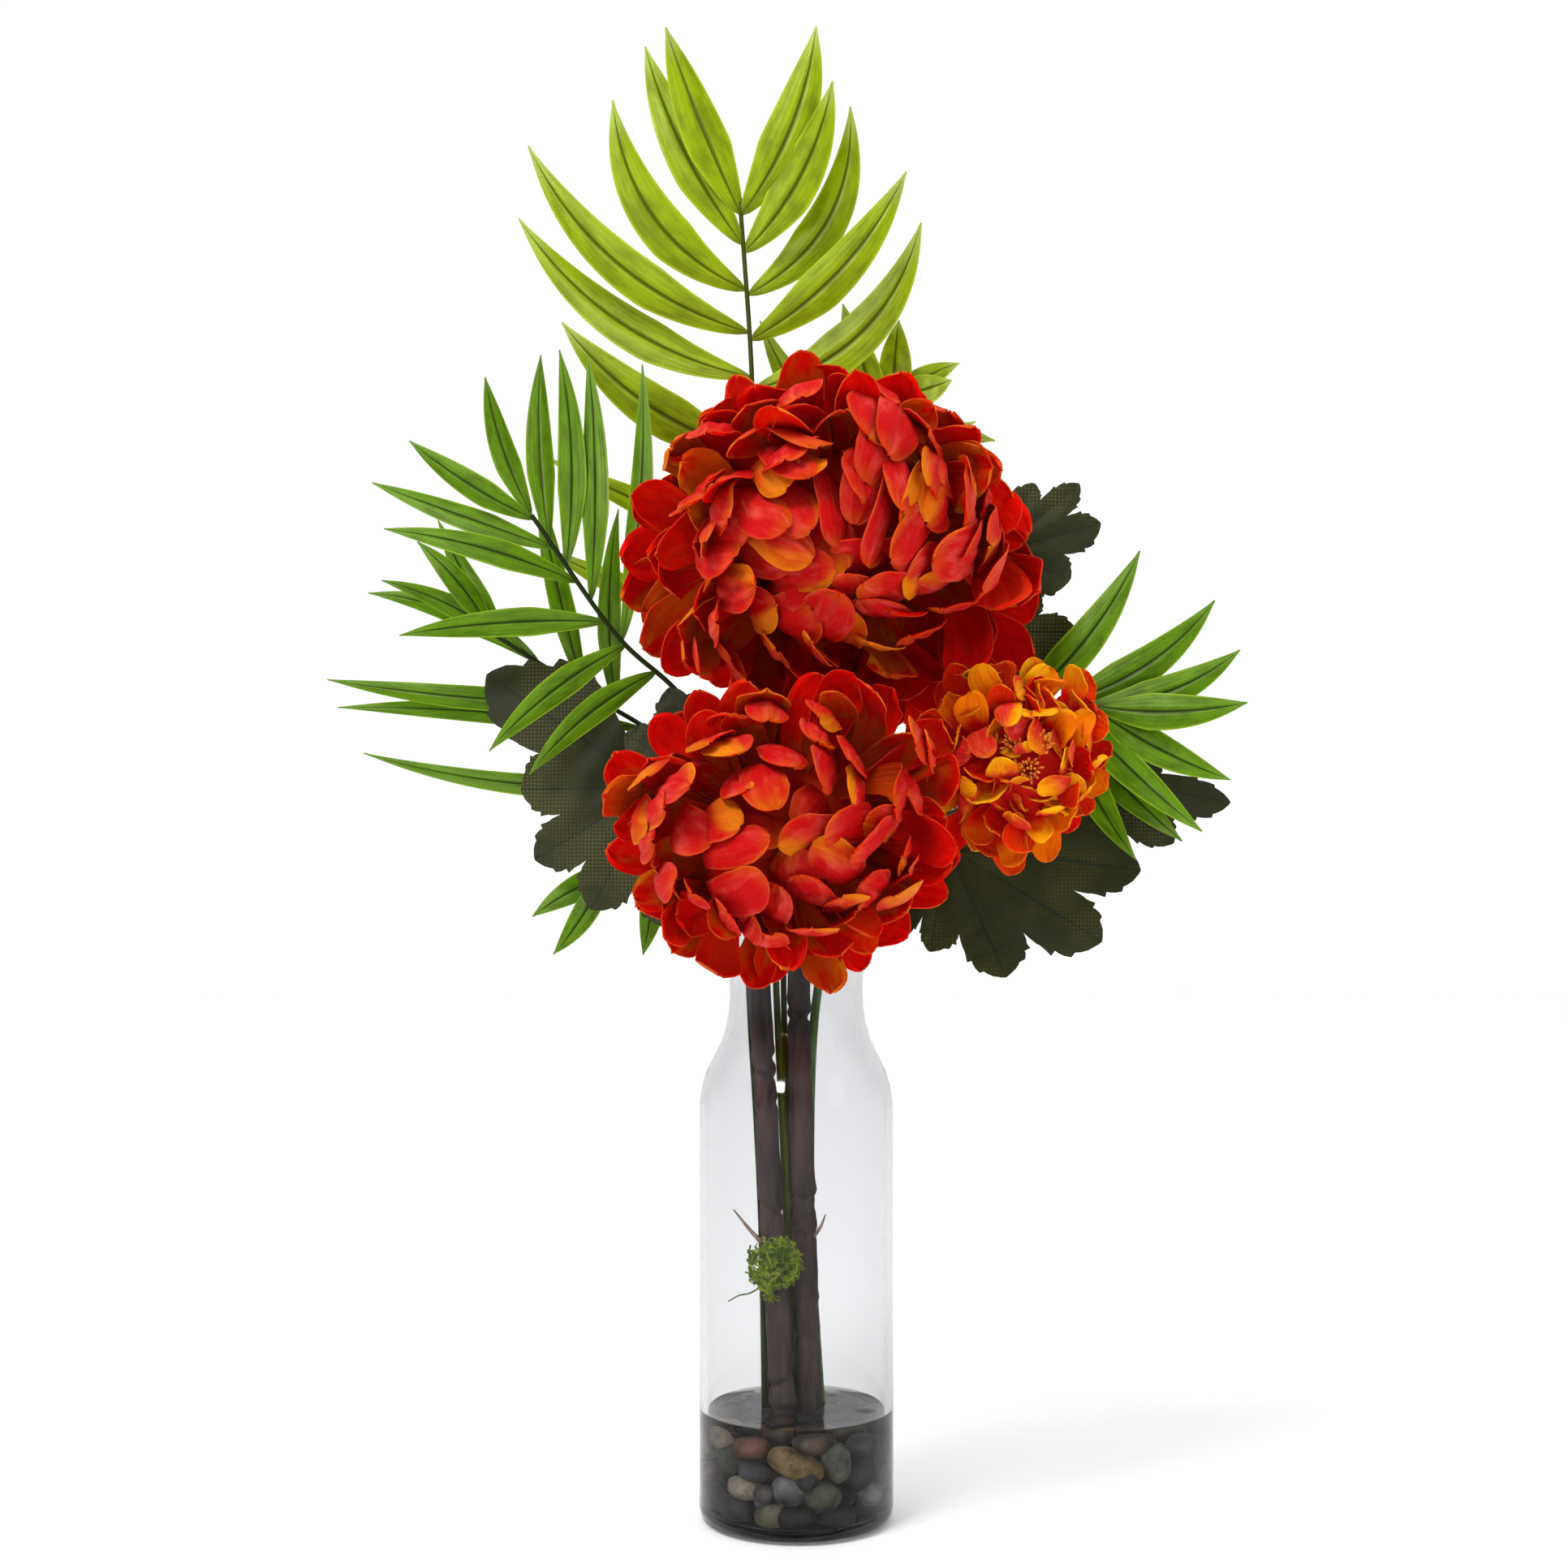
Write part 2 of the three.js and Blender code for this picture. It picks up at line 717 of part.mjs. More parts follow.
// A blade of lobes that fan out from its foot, raised over the frontal plane by a formula, and its stalk.
function lobedLeaf({ foot, slope, lobes, stalk: stalkPoints }) {
  const base = new THREE.Vector2(foot[0], foot[1]);
  const tips = lobes.map((tip) => new THREE.Vector2(...tip).sub(base));
  const reach = Math.max(...tips.map((tip) => tip.length()));
  const points = [];
  const place = (flat, raised) => {
    const curl = CURL * reach * (flat.length() / reach) ** 2;
    const z = foot[2] + slope[0] * flat.x + slope[1] * flat.y - curl + raised;
    points.push({
      p: new THREE.Vector3(base.x + flat.x, base.y + flat.y, z),
      n: new THREE.Vector3(-slope[0], -slope[1], 1).normalize(),
    });
    return points.length - 1;
  };
  const hub = place(new THREE.Vector2(), 0);
  // A notch lies between each two lobes, and one more closes the blade on each side of its foot.
  const lone = (tip, side) =>
    tip.clone().rotateAround(new THREE.Vector2(), side * FOOT_NOTCH.angle).multiplyScalar(FOOT_NOTCH.out);
  const between = tips.slice(1).map((tip, k) => {
    const way = tip.clone().normalize().add(tips[k].clone().normalize()).normalize();
    return way.multiplyScalar((NOTCH * (tip.length() + tips[k].length())) / 2);
  });
  const notches = [lone(tips[0], -1), ...between, lone(tips[tips.length - 1], 1)];
  const notchIds = notches.map((notch) => place(notch, PLEAT));
  const triangles = [];
  const outline = [hub];
  tips.forEach((tip, k) => {
    const across = new THREE.Vector2(tip.y, -tip.x);
    const edge = (notch) => {
      const far = notch.dot(tip) / tip.lengthSq();
      const wide = notch.dot(across) / tip.lengthSq();
      return TEETH.map(([t, w]) =>
        place(tip.clone().multiplyScalar(mix(far, 1, t)).addScaledVector(across, wide * w), PLEAT),
      );
    };
    const rib = [0.4, 0.8].map((t) => place(tip.clone().multiplyScalar(t), -PLEAT));
    const right = [notchIds[k], ...edge(notches[k])];
    const left = [notchIds[k + 1], ...edge(notches[k + 1])];
    const point = place(tip, 0);
    const middle = [hub, ...rib];
    triangles.push(...lace(middle, right).map(([a, b, c]) => [c, b, a]), ...lace(middle, left));
    triangles.push([rib[1], right[right.length - 1], point], [rib[1], point, left[left.length - 1]]);
    outline.push(...right, point, ...left.slice(1).reverse());
  });
  outline.push(notchIds[notchIds.length - 1]);
  const made = sheet(points, triangles, outline, LEAF_THICKNESS);
  const inward = base.clone().addScaledVector(tips[Math.floor(tips.length / 2)], STALK_SUNK);
  const start = [inward.x, inward.y, foot[2]];
  return toGeometry(fuse([made, stalk([start, foot, ...stalkPoints], STALK_RADIUS, 4, 4)]));
}

// ---------------------------------------------------------------- the vase and what lies in it

function vase() {
  const { radius, wall, floor, footRadius, footHeight, segments } = VASE;
  const points = [[0, 0], [footRadius, 0], [radius - 1, footHeight / 3], [radius, footHeight], ...SHOULDER];
  const inside = SHOULDER.map(([r, h]) => [r - wall, h]).reverse();
  points.push([29.1, 232], [27, 232], ...inside);
  points.push([radius - wall, floor + 2], [radius - wall - 2, floor], [0, floor]);
  return new THREE.LatheGeometry(points.map(([r, h]) => new THREE.Vector2(r, h)), segments);
}

// A stone, or the hollow that it leaves in the water when grown by a margin.
function stone([x, height, z, halfWidth, halfHeight, halfDepth, tilt, round], margin) {
  const shape = new THREE.SphereGeometry(1, 6, 4);
  shape.scale(halfWidth + margin, halfHeight + margin, halfDepth + margin);
  shape.rotateZ(rad(tilt)).rotateY(Math.atan2(x, z));
  return shape.translate(x, height, z).rotateY(round);
}

function allStones() {
  const inner = VASE.radius - VASE.wall - GAP;
  const front = STONES.map(([x, height, halfWidth, halfHeight, tilt]) => {
    const out = inner - STONE_DEPTH - STONE_HOLLOW;
    const sideways = THREE.MathUtils.clamp(x, -out, out);
    const z = Math.sqrt(out * out - sideways * sideways);
    return [sideways, height, z, halfWidth, halfHeight, STONE_DEPTH, tilt];
  });
  const heart = Array.from({ length: HEART.count }, (_, k) => {
    const round = (2 * Math.PI * k) / HEART.count;
    return [0, HEART.height, HEART.distance, HEART.halfWidth, HEART.halfHeight, HEART.halfWidth, 0, round];
  });
  return [...front.map((one) => [...one, 0]), ...front.map((one) => [...one, Math.PI]), ...heart];
}

function riverStones() {
  return toGeometry(fuse(allStones().map((one) => stone(one, 0))));
}

// Clear water from the vase's floor to its level, round the stones and with a plain hole for each stem.
function water(stems) {
  const radius = VASE.radius - VASE.wall - GAP;
  const bottom = VASE.floor + GAP;
  const body = new THREE.CylinderGeometry(radius, radius - 2, WATER_LEVEL - bottom, VASE.segments);
  body.translate(0, (WATER_LEVEL + bottom) / 2, 0);
  const hollows = allStones().map((one) => toSolid(stone(one, STONE_HOLLOW)));
  const holes = stems.map(({ points: [[x, foot, z], ...rest], radii }) => {
    const grown = radii.map((radius) => radius + STEM_HOLE);
    return toSolid(stalk([[x, foot - 2 * GAP, z], ...rest], grown, 12, 8));
  });
  const left = [...hollows, ...holes].reduce((kept, one) => kept.subtract(one), toSolid(body));
  return toGeometry(mainBody(left));
}

// Moss: a small tuft on the front of one stem, strands standing out of a knot.
function moss() {
  const draw = random(7);
  const knot = new THREE.SphereGeometry(MOSS.radius, 8, 6);
  const strands = Array.from({ length: MOSS.strands }, (_, k) => {
    const polar = Math.acos(1 - (2 * (k + 0.5)) / MOSS.strands) * THREE.MathUtils.RAD2DEG;
    const out = direction(polar, k * 2.4);
    const length = MOSS.reach * (1 + 0.25 * spread(draw));
    const strand = new THREE.CylinderGeometry(0.5, 1.1, length, 3).translate(0, length / 2, 0);
    return strand.applyQuaternion(new THREE.Quaternion().setFromUnitVectors(UP, out));
  });
  const tuft = fuse([knot, ...strands].map((one) => one.translate(...MOSS.centre)));
  const room = toSolid(stalk(FRONT_STEM, BROWN_RADIUS.map((r) => r + STEM_HOLE), 12, 8));
  return toGeometry(mainBody(tuft.subtract(room)));
}

// ---------------------------------------------------------------- materials

const finish = (color, roughness) => new THREE.MeshStandardMaterial({ color, roughness, metalness: 0 });
const GLASS = finish(0xf2f5f6, 0.05);
GLASS.transparent = true;
GLASS.opacity = 0.3;
const WATER = finish(0x6d716e, 0.05);
const STONE = finish(0x5b554b, 0.4);
const MOSS_GREEN = finish(0x5c8a1f, 0.95);
const BARK = finish(0x3e3232, 0.8);
const STEM_GREEN = finish(0x3f6b22, 0.6);
const RED_PETAL = finish(0xc92a1c, 0.7);
const ORANGE_PETAL = finish(0xee8a1c, 0.7);
const EYE = finish(0xf0b030, 0.7);
const LIME_PALM = finish(0x8fb51c, 0.5);
const GREEN_PALM = finish(0x4c8a22, 0.5);
const DARK_LEAF = finish(0x2a3628, 0.75);

// ---------------------------------------------------------------- the arrangement

const group = new THREE.Group();

function add(name, geometry, material) {
  const made = new THREE.Mesh(geometry, material);
  made.name = name;
  group.add(made);
  return made;
}

// A piece of a head, made in the head's own frame.
function addOnHead(name, geometry, material, head) {
  const made = add(name, geometry, material);
  made.position.set(...head.centre);
  made.quaternion.copy(turnOf(head));
}

const MUM_CALYX = 1;
const SPRAY_CALYX = 0.7;
const frontStem = [...FRONT_STEM, ...stemEnd(FRONT_MUM, MUM_CALYX)];
const bigStem = [...BIG_STEM, ...stemEnd(BIG_MUM, MUM_CALYX)];
const sprayStem = [...SPRAY_STEM, ...stemEnd(SPRAY_MUM, SPRAY_CALYX)];
const FRONT_TWIG = [
  [-9, 104, 4],
  [-17, 111.5, 3],
  [-24.5, 120.5, 2],
];
const BIG_TWIG = [
  [3.5, 106, -3],
  [9, 112, -2],
  [11.5, 118, -1],
];

add("vase", vase(), GLASS);
add("river_stones", riverStones(), STONE);
const inWater = [
  { points: frontStem, radii: BROWN_RADIUS },
  { points: bigStem, radii: BROWN_RADIUS },
  { points: sprayStem, radii: GREEN_RADIUS },
  ...Object.values(FRONDS).map(({ rib }) => ({ points: rib, radii: RIB_RADIUS })),
];
add("water", water(inWater), WATER);
add("front_mum_stem", woodyStem(frontStem, BROWN_RADIUS, FRONT_TWIG), BARK);
add("big_mum_stem", woodyStem(bigStem, BROWN_RADIUS, BIG_TWIG), BARK);
add("spray_mum_stem", toGeometry(fuse([stalk(sprayStem, GREEN_RADIUS, 12, 6)])), STEM_GREEN);
add("moss_tuft", moss(), MOSS_GREEN);

addOnHead("big_mum", mumHead(BIG_MUM, [FRONT_MUM, SPRAY_MUM], LEAN, PETAL_ROWS), RED_PETAL, BIG_MUM);
addOnHead("front_mum", mumHead(FRONT_MUM, [BIG_MUM, SPRAY_MUM], LEAN, PETAL_ROWS), RED_PETAL, FRONT_MUM);
const spray = mumHead(SPRAY_MUM, [BIG_MUM, FRONT_MUM], OPEN_LEAN, SMALL_PETAL_ROWS);
addOnHead("spray_mum", spray, ORANGE_PETAL, SPRAY_MUM);
for (let k = 0; k < EYES; k++) {
  addOnHead(`spray_mum_eye_${k + 1}`, sprayEye(SPRAY_MUM, k), EYE, SPRAY_MUM);
}
addOnHead("big_mum_calyx", calyx(BIG_MUM, BROWN_RADIUS[1], MUM_CALYX), STEM_GREEN, BIG_MUM);
addOnHead("front_mum_calyx", calyx(FRONT_MUM, BROWN_RADIUS[1], MUM_CALYX), STEM_GREEN, FRONT_MUM);
addOnHead("spray_mum_calyx", calyx(SPRAY_MUM, GREEN_RADIUS[1], SPRAY_CALYX), STEM_GREEN, SPRAY_MUM);

Object.entries(FRONDS).forEach(([name, one], k) => {
  const lime = name === "palm_frond_top" || name === "palm_frond_back";
  add(name, frond(one, 20 + k), lime ? LIME_PALM : GREEN_PALM);
});
Object.entries(LEAVES).forEach(([name, one]) => add(name, lobedLeaf(one), DARK_LEAF));

group.rotation.x = Math.PI / 2; // height becomes +Z, and the viewer stands towards -Y

export default group;
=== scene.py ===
import json
import math
import random

import bpy
import numpy as np
from mathutils import Euler, Vector, noise
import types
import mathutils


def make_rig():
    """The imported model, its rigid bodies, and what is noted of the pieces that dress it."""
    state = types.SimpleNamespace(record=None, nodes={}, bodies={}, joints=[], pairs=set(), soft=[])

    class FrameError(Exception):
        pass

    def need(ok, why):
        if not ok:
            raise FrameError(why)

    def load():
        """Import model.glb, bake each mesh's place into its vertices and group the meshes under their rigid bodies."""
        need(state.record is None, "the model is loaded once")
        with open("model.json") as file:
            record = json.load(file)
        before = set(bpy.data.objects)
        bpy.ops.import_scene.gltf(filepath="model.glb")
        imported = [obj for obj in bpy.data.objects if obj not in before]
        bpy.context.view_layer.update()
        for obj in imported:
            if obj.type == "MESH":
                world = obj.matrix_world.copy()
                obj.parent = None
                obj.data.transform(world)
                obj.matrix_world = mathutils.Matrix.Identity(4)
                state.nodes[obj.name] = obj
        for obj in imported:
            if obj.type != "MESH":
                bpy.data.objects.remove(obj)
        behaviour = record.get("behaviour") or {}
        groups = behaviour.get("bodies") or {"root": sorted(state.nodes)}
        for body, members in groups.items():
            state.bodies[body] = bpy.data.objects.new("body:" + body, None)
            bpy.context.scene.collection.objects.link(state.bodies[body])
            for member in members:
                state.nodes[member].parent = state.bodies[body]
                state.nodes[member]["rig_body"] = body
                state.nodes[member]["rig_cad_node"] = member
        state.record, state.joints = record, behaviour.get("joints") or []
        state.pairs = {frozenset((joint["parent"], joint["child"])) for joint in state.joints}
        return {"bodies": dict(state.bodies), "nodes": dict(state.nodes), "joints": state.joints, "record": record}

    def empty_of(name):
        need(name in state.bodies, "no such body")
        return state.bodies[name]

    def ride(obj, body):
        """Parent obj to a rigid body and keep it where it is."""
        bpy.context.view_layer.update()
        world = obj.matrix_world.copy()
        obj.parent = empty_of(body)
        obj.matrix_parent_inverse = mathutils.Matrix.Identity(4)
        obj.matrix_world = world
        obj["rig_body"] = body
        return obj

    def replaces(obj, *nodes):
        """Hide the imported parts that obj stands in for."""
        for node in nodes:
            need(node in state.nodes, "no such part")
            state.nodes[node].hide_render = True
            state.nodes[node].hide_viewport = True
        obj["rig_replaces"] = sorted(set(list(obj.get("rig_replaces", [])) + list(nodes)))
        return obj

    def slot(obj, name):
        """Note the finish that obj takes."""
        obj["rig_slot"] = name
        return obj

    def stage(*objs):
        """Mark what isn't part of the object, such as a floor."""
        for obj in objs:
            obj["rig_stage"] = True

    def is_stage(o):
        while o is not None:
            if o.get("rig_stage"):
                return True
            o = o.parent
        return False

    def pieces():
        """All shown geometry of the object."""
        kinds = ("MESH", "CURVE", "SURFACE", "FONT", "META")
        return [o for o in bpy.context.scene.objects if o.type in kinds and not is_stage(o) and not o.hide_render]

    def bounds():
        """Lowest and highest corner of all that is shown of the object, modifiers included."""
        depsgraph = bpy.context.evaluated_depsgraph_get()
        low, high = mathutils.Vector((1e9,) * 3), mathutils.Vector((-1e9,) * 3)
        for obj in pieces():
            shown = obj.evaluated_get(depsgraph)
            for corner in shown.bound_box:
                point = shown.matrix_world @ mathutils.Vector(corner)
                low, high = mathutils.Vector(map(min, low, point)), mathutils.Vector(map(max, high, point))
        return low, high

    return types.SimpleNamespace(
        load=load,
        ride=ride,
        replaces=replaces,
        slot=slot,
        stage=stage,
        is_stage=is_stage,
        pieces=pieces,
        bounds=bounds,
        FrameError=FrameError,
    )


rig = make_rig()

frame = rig.load()
CAD_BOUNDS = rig.bounds()

# ---------------------------------------------------------------- driving dimensions, in mm and degrees

VASE_RADIUS = 38
VASE_WALL = 3
# The glass from its axis out under the foot, up its side to the lip, and down its inside to the floor.
VASE_OUTSIDE = [
    [0, 1.2], [20, 1], [30, 0.2], [33.5, 0], [36, 0.9], [37.5, 2.6], [38, 5.5], [38, 60], [38, 120],
    [38, 158], [37.8, 163], [36.6, 169.5], [34.8, 175], [32, 180.6], [29, 187], [27.1, 193.5], [26.2, 200],
    [26, 206], [26.2, 213], [27.2, 221], [28.6, 228], [29.3, 230.6],
]
VASE_INSIDE = [[27.4, 231.6], [26.4, 229.5], [25.2, 226]]
VASE_INSIDE += [[round(r - VASE_WALL, 1), height] for r, height in VASE_OUTSIDE[19:6:-1]]
VASE_INSIDE += [[35, 9], [34.2, 6], [32.6, 4.6], [30, 4.1], [16, 4], [0, 4]]
# The water is a little wider than the glass's inside, so that no air shows between them, and creeps up the
# glass.
WATER_LEVEL = 42.5
WATER_RADIUS = VASE_RADIUS - VASE_WALL + 0.06
WATER = [
    (0, 3.94), (16, 3.94), (30, 4.04), (32.64, 4.56), (34.25, 5.96), (WATER_RADIUS, 9), (WATER_RADIUS, 20),
    (WATER_RADIUS, 30), (WATER_RADIUS, WATER_LEVEL - 1), (WATER_RADIUS, WATER_LEVEL + 0.6),
    (WATER_RADIUS - 0.7, WATER_LEVEL + 0.15), (WATER_RADIUS - 2, WATER_LEVEL), (20, WATER_LEVEL),
    (0, WATER_LEVEL),
]

# A head: its centre, its half width, height and depth, how far it nods down and turns right, its petals,
# those behind its rim, how wide they are in the middle and at the rim, how far round from its axis the last
# of them ends, how much nearer to the axis the first one ends, the polar angles between which they open, the
# side on which they open sooner and by how much, how far out the middle ones reach, how uneven they are, how
# they are cupped, how far forward its core is and how deep, how much further than the core its petals bow
# down, and the sides on which the outer petals reach further or less far.
RED_HEAD = dict(last=108, opens=(52, 92), inner_reach=0.68, cup=(0.55, 1.15), core_front=0.56)
BIG_MUM = dict(RED_HEAD, seed=11, centre=(14.5, 385, 27), size=(71, 60, 74), nod=12, turn=5, petals=150,
               behind=26, width=(20, 26), first=-14, open_side=(158, 28), uneven=0.07, core_depth=68, bow=10,
               corners=[(33, -0.15), (-37, 0.19), (-142, 0.27), (146, 0.08), (178, -0.13), (-70, 0.2)])
FRONT_MUM = dict(RED_HEAD, seed=5, centre=(-7, 268, 64), size=(58, 50.5, 62), nod=5, turn=4, petals=104,
                 behind=20, width=(17, 20.5), first=-12, open_side=(-100, 26), uneven=0.1, core_depth=56,
                 bow=-4, corners=[(42, 0.34), (-18, 0.04), (141, 0.06), (-100, 0.02)])
SPRAY_MUM = dict(seed=3, centre=(86.5, 293, 42), size=(33, 39, 32), nod=-16, turn=-5, core_front=0.48,
                 core_depth=32)
# The spray's blooms: one round each tuft of stamens, and short, shut petals between them.
SPRAY_BLOOMS = [
    dict(seed=21, centre=(75, 304, 45), size=(24, 29, 22), nod=-14, turn=-14, petals=28, behind=8),
    dict(seed=22, centre=(80, 290, 44), size=(31, 37, 24), nod=8, turn=-4, petals=42, behind=10),
    dict(seed=23, centre=(95, 301, 40), size=(25, 32, 24), nod=-8, turn=22, petals=32, behind=8),
    dict(seed=24, centre=(88, 292, 46), size=(19, 22, 17), nod=0, turn=4, petals=22, behind=0),
]
SPRAY_PETALS = dict(width=(11.5, 14.5), last=110, first=6, opens=(22, 66), open_side=(-90, 10),
                    inner_reach=0.72, uneven=0.13, cup=(0.25, 0.75), bow=0, corners=[(150, 0.24)])
# The rows and columns of points on a petal, and its thickness.
PETAL_DETAIL = (17, 13, 0.45)
SMALL_PETAL_DETAIL = (13, 9, 0.4)
CORE = 0.48  # a core's size over its head's
CORE_BACK = 0.75  # how far a head goes back, over how far it comes forward
HEAD_OVERLAP = 5  # how far past the middle between two heads a petal may reach
GOLDEN_ANGLE = 2.39996

# Stems: their radius at the foot and at the top, and the points that they and their twigs run through.
BROWN_RADIUS = (4.9, 4)
FRONT_STEM = [(-3.8, 21, 5), (-9.4, 117, 4), (-14.2, 205, 2), (-15, 232, 4), (-13.5, 254, 11)]
BIG_STEM = [(5.9, 21, -3), (3, 117, -3), (1.1, 205, -3), (2, 240, -7), (6, 300, -18), (10, 355, -26)]
GREEN_RADIUS = (2, 1.6)
SPRAY_STEM = [(10.5, 27, -11), (5.5, 120, -10.6), (8.5, 205, -5.5), (17, 238, -3), (42, 266, 2)]
FRONT_TWIG = [(-9, 104, 4), (-17, 111.5, 3), (-24.5, 120.5, 2)]
BIG_TWIG = [(3.5, 106, -3), (9, 112, -2), (11.5, 118, -1)]
# The cup behind a head and its sepals.
CALYX = dict(radius=9, depth=8, sepals=5, length=17, width=8)
SPRAY_CALYX_SCALE = 0.7
STAMENS = 26  # in one tuft
# The tint that marks a frond's rib, a leaf's stalk or a stem's twig, and the limit by which the material
# knows it.
STALK_TINT, STALK_LIMIT = 0.02, 0.03
TWIG_TINT, TWIG_LIMIT = 0.9, 0.7

# Palm fronds: the midrib's points from its foot to its tip, how much thicker it is inside the vase, the
# leaflets' greatest width, and each leaflet as how far back from the midrib's tip it starts, its own tip, and
# how far it bows to its left as a share of its length.
FRONDS = {
    "palm_frond_top": dict(
        thick=0.6,
        width=18.5,
        rib=[(-1.5, 27, -7.4), (-3.6, 120, -3.6), (-7.8, 205, -1.5), (-9, 245, -9), (-14, 330, -30),
             (-17, 400, -36), (-18, 455, -36), (-22.5, 521, -30)],
        leaflets=[
            (5, (-52, 588, -18), 0.06), (5, (8, 589, -20), -0.14), (17, (-60.8, 584, -30), 0.1),
            (20, (14.5, 565, -12), -0.16), (35, (-73.3, 560, -22), 0.3), (37, (22, 561, -34), -0.32),
            (52, (-108, 544, -30), 0.22), (55, (44, 531, -20), -0.16), (70, (-113, 517, -40), 0.2),
            (75, (50.6, 513, -30), -0.3), (100, (-94, 472, -26), 0.16),
        ],
    ),
    "palm_frond_back": dict(
        width=14.5,
        rib=[(-0.6, 27, -11.4), (-1.5, 120, -10), (-5, 205, -6.5), (-4, 245, -18), (5, 330, -48),
             (22, 400, -56), (42, 446, -54)],
        leaflets=[
            (0, (64, 452, -46), -0.1), (13, (19.4, 484, -50), 0.05), (4, (42.5, 477, -48), 0.04),
            (35, (-14.7, 479, -60), 0.1), (30, (81.6, 427, -44), 0.22), (13, (68, 461, -58), 0.14),
            (65, (75, 437, -60), 0.2), (78, (-105, 423, -62), 0.04), (104, (-105, 385, -60), 0.1),
            (95, (-74.6, 367, -52), -0.2),
        ],
    ),
    "palm_frond_left": dict(
        width=11.3,
        rib=[(-6.8, 27, -5), (-10, 120, -5.5), (-15, 205, -7), (-16, 245, -10), (-28, 300, -14),
             (-49, 325, -13), (-69, 343, -10), (-104, 392, -4)],
        leaflets=[
            (0, (-121.3, 445, 4), 0.06), (2, (-151.7, 421, -2), 0.05), (12, (-101, 456, -10), 0.05),
            (16, (-167, 405, -6), 0.03), (24, (-93, 457, -4), -0.07), (32, (-161, 386, 2), -0.05),
            (41, (-82.8, 457, -14), -0.07), (51, (-154, 344, 8), -0.07), (61, (-61, 453, -14), -0.06),
            (63, (-118, 299, 18), -0.1), (79, (-103, 290, 14), -0.12),
        ],
    ),
    "palm_frond_far_left": dict(
        width=10.2,
        rib=[(-10, 27, -8.5), (-11, 120, -12), (-11.5, 205, -13), (-16, 245, -24), (-50, 300, -44),
             (-88, 325, -46), (-124, 348, -42)],
        leaflets=[
            (0, (-154, 385, -38), -0.05), (8, (-147, 395, -48), 0.06), (15, (-168, 369, -34), -0.12),
            (23, (-176, 365, -50), -0.16), (45, (-106, 410, -50), 0.04), (53, (-191, 329, -40), 0.04),
            (60, (-72.5, 399, -44), 0.1), (75, (-189, 318, -52), -0.04), (105, (-177, 299, -44), 0.1),
        ],
    ),
    "palm_frond_low": dict(
        width=11,
        rib=[(-12, 27, -2.5), (-14, 120, -2.5), (-19, 205, -3), (-22, 240, -12), (-44, 256, -34),
             (-78, 250, -42)],
        leaflets=[
            (0, (-98.8, 217, -40), 0.12), (6, (-108, 232, -46), -0.1), (23, (-62, 217, -36), 0.06),
            (40, (-45, 216, -38), 0.05),
        ],
    ),
    "palm_frond_right": dict(
        width=14.5,
        rib=[(4, 27, -13.4), (1.8, 120, -14.6), (4, 205, -14), (9, 245, -18), (50, 292, -24), (88, 316, -16),
             (118, 317, -6)],
        leaflets=[
            (36, (135, 378, -4), -0.14), (18, (163, 358, 4), -0.2), (4, (174, 339, -2), -0.18),
            (0, (175, 318, 8), -0.1), (2, (169.5, 288, 2), -0.08), (11, (157, 268, 10), -0.06),
            (18, (151, 264, 0), -0.04), (16, (132, 257, 6), -0.1),
        ],
    ),
}
LIME_FRONDS = ("palm_frond_top", "palm_frond_back")
RIB_RADIUS = (1.4, 0.9)  # at a midrib's foot and tip

# Lobed leaves: the place of the blade's foot, how far the blade comes forward for each mm to the right and
# up, the lobes' tips in order round the blade, anticlockwise, and the points of its stalk down to the stem.
LEAVES = {
    "leaf_right_high": dict(
        foot=(80, 378, -8), slope=(-0.1, 0.15),
        lobes=[(84, 361), (109, 368), (121, 390), (112, 405), (94, 405)],
        stalk=[(50, 372, -18), (15.8, 366, -25)]),
    "leaf_right_middle": dict(
        foot=(74, 347, -16), slope=(0.05, 0.1),
        lobes=[(86, 327), (112, 347), (97, 362)],
        stalk=[(45, 342, -22), (13.2, 334, -23)]),
    "leaf_right": dict(
        foot=(108, 291, -14), slope=(-0.05, -0.2),
        lobes=[(120, 268), (150, 263), (174, 279), (146, 297), (124, 308)],
        stalk=[(90, 284, -14), (62, 276, 3)]),
    "leaf_right_low": dict(
        foot=(60, 262, -16), slope=(0.1, -0.15),
        lobes=[(40, 226), (53, 220), (83, 210), (121, 224), (137, 252)],
        stalk=[(45, 256, -14), (23, 246, -5.6)]),
    "leaf_left": dict(
        foot=(-57, 285, -24), slope=(0.05, -0.1),
        lobes=[(-126, 331), (-111, 284), (-105, 256), (-82, 236), (-52, 229)],
        stalk=[(-38, 268, -18), (-18.5, 244, -1)]),
    "leaf_left_inner": dict(
        foot=(-34, 286, -2), slope=(-0.1, 0.1),
        lobes=[(-50, 324), (-67, 306), (-58, 282)],
        stalk=[(-26, 268, 0), (-19, 250, 5)]),
}
LEAF_CURL = 0.12  # how far a leaf's longest lobe curls back, over its length
NOTCH = 0.71  # how far out the notch between two lobes is, over the lobes' length
FOOT_NOTCH_OUT = 0.55  # how far out the outer lobe's edge starts beside the foot, over its length
FOOT_NOTCH_ANGLE = 0.5  # and how far round from it, in radians

